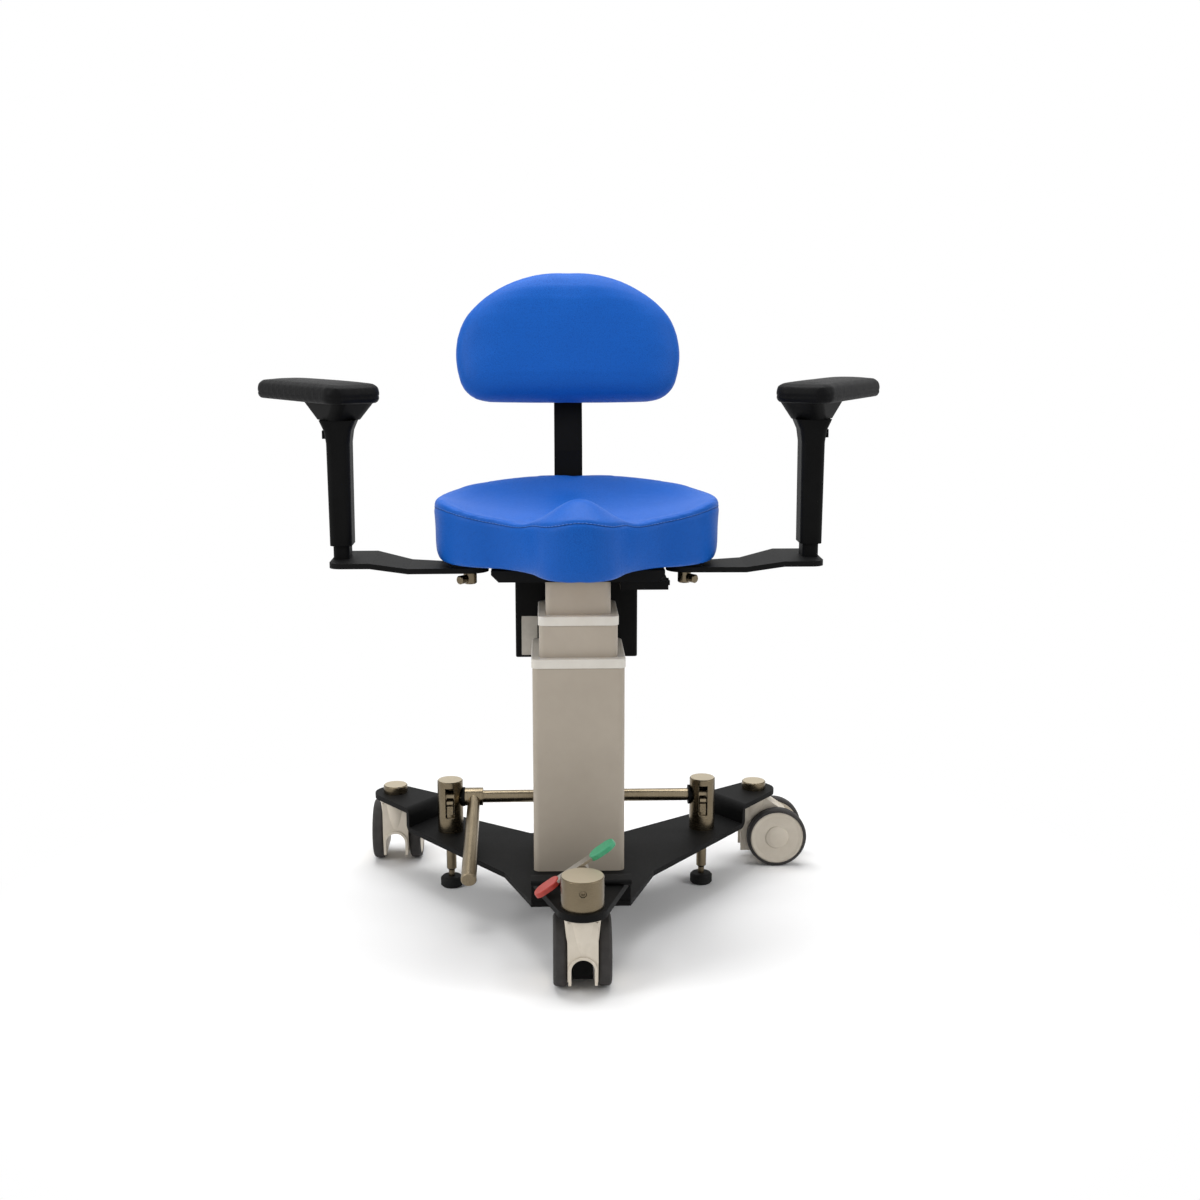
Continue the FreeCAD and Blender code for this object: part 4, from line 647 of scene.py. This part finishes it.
# The join runs round the wall, a little below the rim in front and lower at the sides and rear
seamDrop = seatLook["frontDrop"] + seatLook["rearDrop"] * rear
seamProfile = np.array([
    [[np.interp(drop, down, wall[:, 0]), np.interp(drop, down, wall[:, 1])]]
    for drop, down, wall in zip(seamDrop, fromRim(profiles, seatLook)[:, rimRow:], profiles[:, rimRow:])
])
seamLine = evenLine(turnedRound(seamProfile, seatMiddle, upright)[:, 0], seatLook["stepLength"])
seamLine = laidOn(seamLine, seat.data)[0]
sewn = nearest(seatPoints, seamLine) < seatLook["seamHold"]
stapled = seatPoints[:, 2] < seatBase + seatLook["baseHold"]
inflate(seat, sewn | stapled, seatLook)
refine(seat)
seatPoints = readPoints(seat.data)
sunk = seatLook["seamDepth"] * np.exp(-((nearest(seatPoints, seamLine) / seatLook["seamWidth"]) ** 2))
writePoints(seat.data, seatPoints - readNormals(seat.data) * sunk[:, None])
dressSoft(seat, "seat_cushion", "seat_frame", blueVinyl)

seamLine = laidOn(seamLine, seat.data)[0]
joinLine = np.vstack([seamLine, seamLine[:1]])[None]
# The join's tube carries the painted shade of the seam
joinMesh = tubeMesh("seatSeamJoin", joinLine, seatLook["joinRadius"], seatLook["joinSides"])
addPiece(joinMesh, "seat_frame", paintedSeamShade)


def stitchRow(line, look):
    # Short tapered threads laid beside the join, on the side of the top panel
    ahead = np.roll(line, -1, axis=0) - np.roll(line, 1, axis=0)
    ahead /= np.linalg.norm(ahead, axis=1, keepdims=True)
    upward = np.cross(ahead, np.cross(np.array([0.0, 0.0, 1.0]), ahead))
    inward = np.cross(np.array([0.0, 0.0, 1.0]), ahead)
    aside = inward + upward * rearShare(line, look)[:, None]
    aside /= np.linalg.norm(aside, axis=1, keepdims=True)
    row, facing = laidOn(line + aside * look["stitchAside"], seat.data)
    along = np.concatenate([[0], np.cumsum(np.linalg.norm(np.diff(row, axis=0), axis=1))])
    starts = np.arange(0, along[-1] - look["stitchPitch"], look["stitchPitch"])
    share = np.linspace(0, 1, 5)
    at = starts[:, None] + share[None, :] * look["stitchLength"]
    threads = np.stack([np.interp(at, along, row[:, axis]) for axis in range(3)], axis=-1)
    lift = np.stack([np.interp(at, along, facing[:, axis]) for axis in range(3)], axis=-1)
    return threads + lift * (look["threadRadius"] * np.sin(math.pi * share))[None, :, None]


threads = stitchRow(seamLine, seatLook)
threadTaper = np.array([seatLook["threadTip"], 1, 1, 1, seatLook["threadTip"]])
threadRadius = seatLook["threadRadius"] * threadTaper
threadMesh = tubeMesh("seatStitching", threads, threadRadius, seatLook["threadSides"])
addPiece(threadMesh, "seat_frame", thread)
print("seat sewn", len(threads), "stitches")

# Backrest: one smooth crowned cover drawn round the board, its face turned to the front
backLook = {
    "voxel": 0.005, "rounds": 8, "slack": 0.001, "stiffness": 25, "pressure": 4, "cap": 0.004, "evened": 30,
    "columns": 360, "faceRows": 60, "wallRows": 20, "baseRows": 40, "steep": 0.7, "turnRounds": 10,
    "rollWidth": 0.035, "rollRounds": 50, "fullness": 0.5, "rearHold": 0.012, "lean": 12,
}
frontward = ((1, 0, 0), (0, 0, 1), (0, -1, 0))
profiles, cuts, backMiddle = sections("back_cushion", frontward, backLook)
profiles = rollRim(profiles, np.ones(len(profiles)), backLook)
back = softNet(closedForm("backCover", profiles, cuts, backMiddle, frontward, backLook), backLook)
backPoints = readPoints(back.data)
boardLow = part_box("back_board")[0]
leanRise = math.tan(math.radians(backLook["lean"]))
boardFront = boardLow.y + (backPoints[:, 2] - boardLow.z) * leanRise
backHeld = backPoints[:, 1] > boardFront - backLook["rearHold"]
inflate(back, backHeld, backLook)
refine(back)
dressSoft(back, "back_cushion", "backrest", blueVinyl)

# Arm pads: skinned foam with a parting line low on the side
padLook = {
    "voxel": 0.004, "rounds": 14, "slack": 0.001, "stiffness": 40, "pressure": 4, "cap": 0.004, "evened": 12,
    "wider": 1.018, "thicker": 1.16, "baseHold": 0.002, "lineHeight": 0.006, "lineWidth": 0.0016,
    "lineDepth": 0.0009,
}
for side in ("left", "right"):
    nodeName = side + "_arm_pad"
    pad = softNet(weldedMesh(side + "PadSkin", nodeName), padLook)
    # The foam stands out past its solid on all sides, and its rim hangs a little over the support
    padLow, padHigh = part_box(nodeName)
    padTop = np.array([(padLow.x + padHigh.x) / 2, (padLow.y + padHigh.y) / 2, padHigh.z])
    swell = np.array([padLook["wider"], padLook["wider"], padLook["thicker"]])
    writePoints(pad.data, padTop + (readPoints(pad.data) - padTop) * swell)
    padPoints = readPoints(pad.data)
    inflate(pad, padPoints[:, 2] < padLow.z + padLook["baseHold"], padLook)
    refine(pad)
    padPoints = readPoints(pad.data)
    level = (padPoints[:, 2] - padLow.z - padLook["lineHeight"]) / padLook["lineWidth"]
    groove = padLook["lineDepth"] * np.exp(-(level ** 2))
    padNormals = readNormals(pad.data)
    padNormals[:, 2] = 0
    writePoints(pad.data, padPoints - padNormals * groove[:, None])
    dressSoft(pad, nodeName, side + "_rest", padSkin)
print("soft pieces done")


def circle(radius, sides=36):
    turn = np.linspace(0, 2 * math.pi, sides, endpoint=False)
    return radius * np.column_stack([np.cos(turn), np.sin(turn)])


def hexagon(across, sides=36):
    # Distance to a straight side, divided by the cosine of the angle from the middle of that side
    turn = np.linspace(0, 2 * math.pi, sides, endpoint=False)
    reach = across / 2 / np.cos(turn % (math.pi / 3) - math.pi / 6)
    return reach[:, None] * np.column_stack([np.cos(turn), np.sin(turn)])


def lobed(radius, lobes, depth, sides=144):
    # A circle whose radius swings by a cosine of the angle, as often as there are lobes
    turn = np.linspace(0, 2 * math.pi, sides, endpoint=False)
    reach = radius - depth * (1 - np.cos(lobes * turn)) / 2
    return reach[:, None] * np.column_stack([np.cos(turn), np.sin(turn)])


def roundedSheet(width, height, corner, sides=36):
    # A circle of the corner's radius, its four quarters moved out to the corners
    turn = np.linspace(0, 2 * math.pi, sides, endpoint=False) + math.pi / sides
    return circle(corner, sides) + np.column_stack([
        np.sign(np.cos(turn)) * (width / 2 - corner), np.sign(np.sin(turn)) * (height / 2 - corner),
    ])


sharpFrom = 35  # Degrees between two faces at a hard edge


def stackedMesh(name, places, axes, rings):
    # Outlines stacked along the third axis and joined, closed at both ends, with a copy at each place
    layers = np.array([
        np.column_stack([outline, np.full(len(outline), height)]) for outline, height in rings
    ])
    points = np.asarray(places, float)[:, None, None, :] + layers @ np.asarray(axes, float)
    copies, rows, sides = points.shape[:3]
    first = np.arange(copies)[:, None, None] * rows * sides
    row = np.arange(rows - 1)[None, :, None] * sides
    column = np.arange(sides)[None, None, :]
    after = (column + 1) % sides
    walls = np.stack([first + row + column, first + row + after, first + row + sides + after,
                      first + row + sides + column], axis=-1).reshape(-1, 4)
    ends = np.arange(copies)[:, None] * rows * sides + np.arange(sides)
    faces = walls.tolist() + ends[:, ::-1].tolist() + (ends + (rows - 1) * sides).tolist()
    mesh = bpy.data.meshes.new(name)
    mesh.from_pydata(points.reshape(-1, 3).tolist(), [], faces)
    mesh.shade_smooth()
    mesh.set_sharp_from_angle(angle=math.radians(sharpFrom))
    return mesh


rearward = ((-1, 0, 0), (0, 0, 1), (0, 1, 0))

# Set screw with a hexagon socket, sunk in the front of the stem socket
screwLook = {
    "below": 0.016, "sunk": 0.0015, "radius": 0.0047, "edge": 0.0005, "length": 0.006, "across": 0.005,
    "socketDepth": 0.003,
}
socketLow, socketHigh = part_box("front_stem_socket")
screwFace = (
    (socketLow.x + socketHigh.x) / 2, socketLow.y + screwLook["sunk"], socketHigh.z - screwLook["below"],
)
screwRings = [
    (circle(screwLook["radius"]), -screwLook["length"]), (circle(screwLook["radius"]), -screwLook["edge"]),
    (circle(screwLook["radius"] - screwLook["edge"]), 0), (hexagon(screwLook["across"]), 0),
    (hexagon(screwLook["across"]), -screwLook["socketDepth"]),
]
screwMesh = stackedMesh("frontSetScrew", [screwFace], frontward, screwRings)
addPiece(screwMesh, "base", turnedSteel)

# Bare label plate on the front of the control box, left of the column
labelLook = {
    "fromLeft": 0.0217, "fromBelow": 0.0348, "width": 0.0247, "height": 0.0618, "corner": 0.0015,
    "thickness": 0.0004, "edge": 0.0001,
}
boxLow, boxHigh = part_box("control_box")
labelPlace = (boxLow.x + labelLook["fromLeft"], boxLow.y, boxLow.z + labelLook["fromBelow"])
labelSheet = roundedSheet(labelLook["width"], labelLook["height"], labelLook["corner"])
labelRings = [
    (labelSheet, 0), (labelSheet, labelLook["thickness"] - labelLook["edge"]),
    (labelSheet * (1 - labelLook["edge"] / labelLook["width"]), labelLook["thickness"]),
]
labelMesh = stackedMesh("boxLabel", [labelPlace], frontward, labelRings)
addPiece(labelMesh, "seat_frame", labelFilm)

# Pan-head screws that hold the cover of the control box, on its rear face
coverLook = {
    "inset": 0.012, "radius": 0.004, "rim": 0.0008, "crownRadius": 0.0032, "crown": 0.0018,
    "topRadius": 0.002, "height": 0.0022, "across": 0.0025, "socketDepth": 0.0014,
}
coverPlaces = [
    (x, boxHigh.y, z)
    for x in (boxLow.x + coverLook["inset"], boxHigh.x - coverLook["inset"])
    for z in (boxLow.z + coverLook["inset"], boxHigh.z - coverLook["inset"])
]
coverRings = [
    (circle(coverLook["radius"]), 0), (circle(coverLook["radius"]), coverLook["rim"]),
    (circle(coverLook["crownRadius"]), coverLook["crown"]),
    (circle(coverLook["topRadius"]), coverLook["height"]),
    (hexagon(coverLook["across"]), coverLook["height"]),
    (hexagon(coverLook["across"]), coverLook["height"] - coverLook["socketDepth"]),
]
coverMesh = stackedMesh("boxCoverScrews", coverPlaces, rearward, coverRings)
addPiece(coverMesh, "seat_frame", powderCoat)

# Lobed grip round the rim of the backrest knob
gripLook = {"lobes": 8, "depth": 0.0022, "proud": 0.0024, "edge": 0.0016, "rimFrom": 0.97}
knobJoint = next(joint for joint in frame["joints"] if joint["name"] == "knob_turn")
knobPlace = np.array(knobJoint["pos_m"])
knobAxis = np.array(knobJoint["axis"], float)
knobAxis *= np.sign(knobAxis[1]) / np.linalg.norm(knobAxis)
knobPoints = readPoints(nodes["back_knob"].data) - knobPlace
knobAlong = knobPoints @ knobAxis
knobReach = np.linalg.norm(knobPoints - knobAlong[:, None] * knobAxis, axis=1)
gripSpan = knobAlong[knobReach > knobReach.max() * gripLook["rimFrom"]]
gripRadius = knobReach.max() + gripLook["proud"]
gripSide = np.cross(np.array([0.0, 0.0, 1.0]), knobAxis)
gripSide /= np.linalg.norm(gripSide)
gripAxes = (gripSide, np.cross(knobAxis, gripSide), knobAxis)
gripOuter = lobed(gripRadius, gripLook["lobes"], gripLook["depth"])
gripInner = lobed(gripRadius - gripLook["edge"], gripLook["lobes"], gripLook["depth"])
gripRings = [
    (gripInner, gripSpan.min()), (gripOuter, gripSpan.min() + gripLook["edge"]),
    (gripOuter, gripSpan.max() - gripLook["edge"]), (gripInner, gripSpan.max()),
]
gripMesh = stackedMesh("knobGrip", [knobPlace], gripAxes, gripRings)
addPiece(gripMesh, "knob", blackPlastic)
print("small fittings done")


def seenShare(tree):
    # 1 for what the camera sees straight, by reflection or through glass, 0 for light between matt faces
    path = addNode(tree, "ShaderNodeLightPath").outputs
    seen = path["Is Camera Ray"]
    for other in ("Is Glossy Ray", "Is Transmission Ray"):
        seen = addNode(tree, "ShaderNodeMath", {0: seen, 1: path[other]}, operation="MAXIMUM").outputs[0]
    return seen


# Pale floor that keeps the shadow near the chair and runs out into white
floorLook = {"colour": "#f6f6f6", "fadeFrom": 0.45, "fadeTo": 0.95, "reach": 8.0}


def stageFloor():
    material, tree = newMaterial("paleFloor")
    seen = seenShare(tree)
    place = addNode(tree, "ShaderNodeTexCoord").outputs["Object"]
    away = addNode(tree, "ShaderNodeVectorMath", {0: place}, operation="LENGTH").outputs["Value"]
    fade = addNode(tree, "ShaderNodeMapRange", {
        0: away, 1: floorLook["fadeFrom"], 2: floorLook["fadeTo"],
    }, interpolation_type="SMOOTHSTEP").outputs[0]
    share = addNode(tree, "ShaderNodeMath", {0: seen, 1: fade}, operation="MULTIPLY").outputs[0]
    matt = addNode(tree, "ShaderNodeBsdfDiffuse", {"Color": linear(floorLook["colour"])})
    white = addNode(tree, "ShaderNodeEmission", {"Color": (1, 1, 1, 1), "Strength": 1.0})
    mixed = addNode(tree, "ShaderNodeMixShader", {0: share, 1: matt.outputs[0], 2: white.outputs[0]})
    closeMaterial(tree, mixed)
    corners = np.array([(-1, -1, 0), (1, -1, 0), (1, 1, 0), (-1, 1, 0)]) * floorLook["reach"]
    mesh = bpy.data.meshes.new("floor")
    mesh.from_pydata(corners.tolist(), [], [(0, 1, 2, 3)])
    mesh.materials.append(material)
    floor = bpy.data.objects.new("floor", mesh)
    scene.collection.objects.link(floor)


# White where the camera or a polished face looks past the chair, a softer fill for matt faces
worldLook = {"fill": 0.4, "seen": 1.0}


def stageWorld():
    world = bpy.data.worlds.new("studio")
    scene.world = world
    world.use_nodes = True
    tree = world.node_tree
    tree.nodes.clear()
    level = addNode(tree, "ShaderNodeMapRange", {
        0: seenShare(tree), 3: worldLook["fill"], 4: worldLook["seen"],
    }).outputs[0]
    sky = addNode(tree, "ShaderNodeBackground", {"Color": (1, 1, 1, 1), "Strength": level})
    addNode(tree, "ShaderNodeOutputWorld", {"Surface": sky.outputs[0]})


def addLamp(name, place, aim, size, power):
    data = bpy.data.lights.new(name, "AREA")
    data.shape = "RECTANGLE"
    data.size, data.size_y = size
    data.energy = power
    lamp = bpy.data.objects.new(name, data)
    scene.collection.objects.link(lamp)
    lamp.location = place
    lamp.rotation_euler = (Vector(aim) - Vector(place)).to_track_quat("-Z", "Y").to_euler()


stageFloor()
stageWorld()
addLamp("topSoftbox", (0.0, 0.4, 2.9), (0.0, 0.0, 0.6), (2.6, 1.8), 78)
addLamp("leftSoftbox", (-2.4, -1.4, 1.9), (0.0, 0.0, 0.55), (1.2, 1.6), 40)
addLamp("rightSoftbox", (2.5, -1.1, 1.7), (0.0, 0.0, 0.55), (1.0, 1.6), 23)

# Camera of the photograph: place in metres, downward pitch and heading from +Y in degrees
camera = {"place": (-0.0391, -2.2282, 0.9246), "lens": 45.46, "pitch": 10.85, "heading": 2.01}
view = bpy.data.objects.new("photoCamera", bpy.data.cameras.new("photoCamera"))
scene.collection.objects.link(view)
view.data.sensor_width = 36.0
view.data.lens = camera["lens"]
view.location = camera["place"]
view.rotation_euler = (math.radians(90 - camera["pitch"]), 0, -math.radians(camera["heading"]))
scene.camera = view
scene.view_settings.view_transform = "Standard"
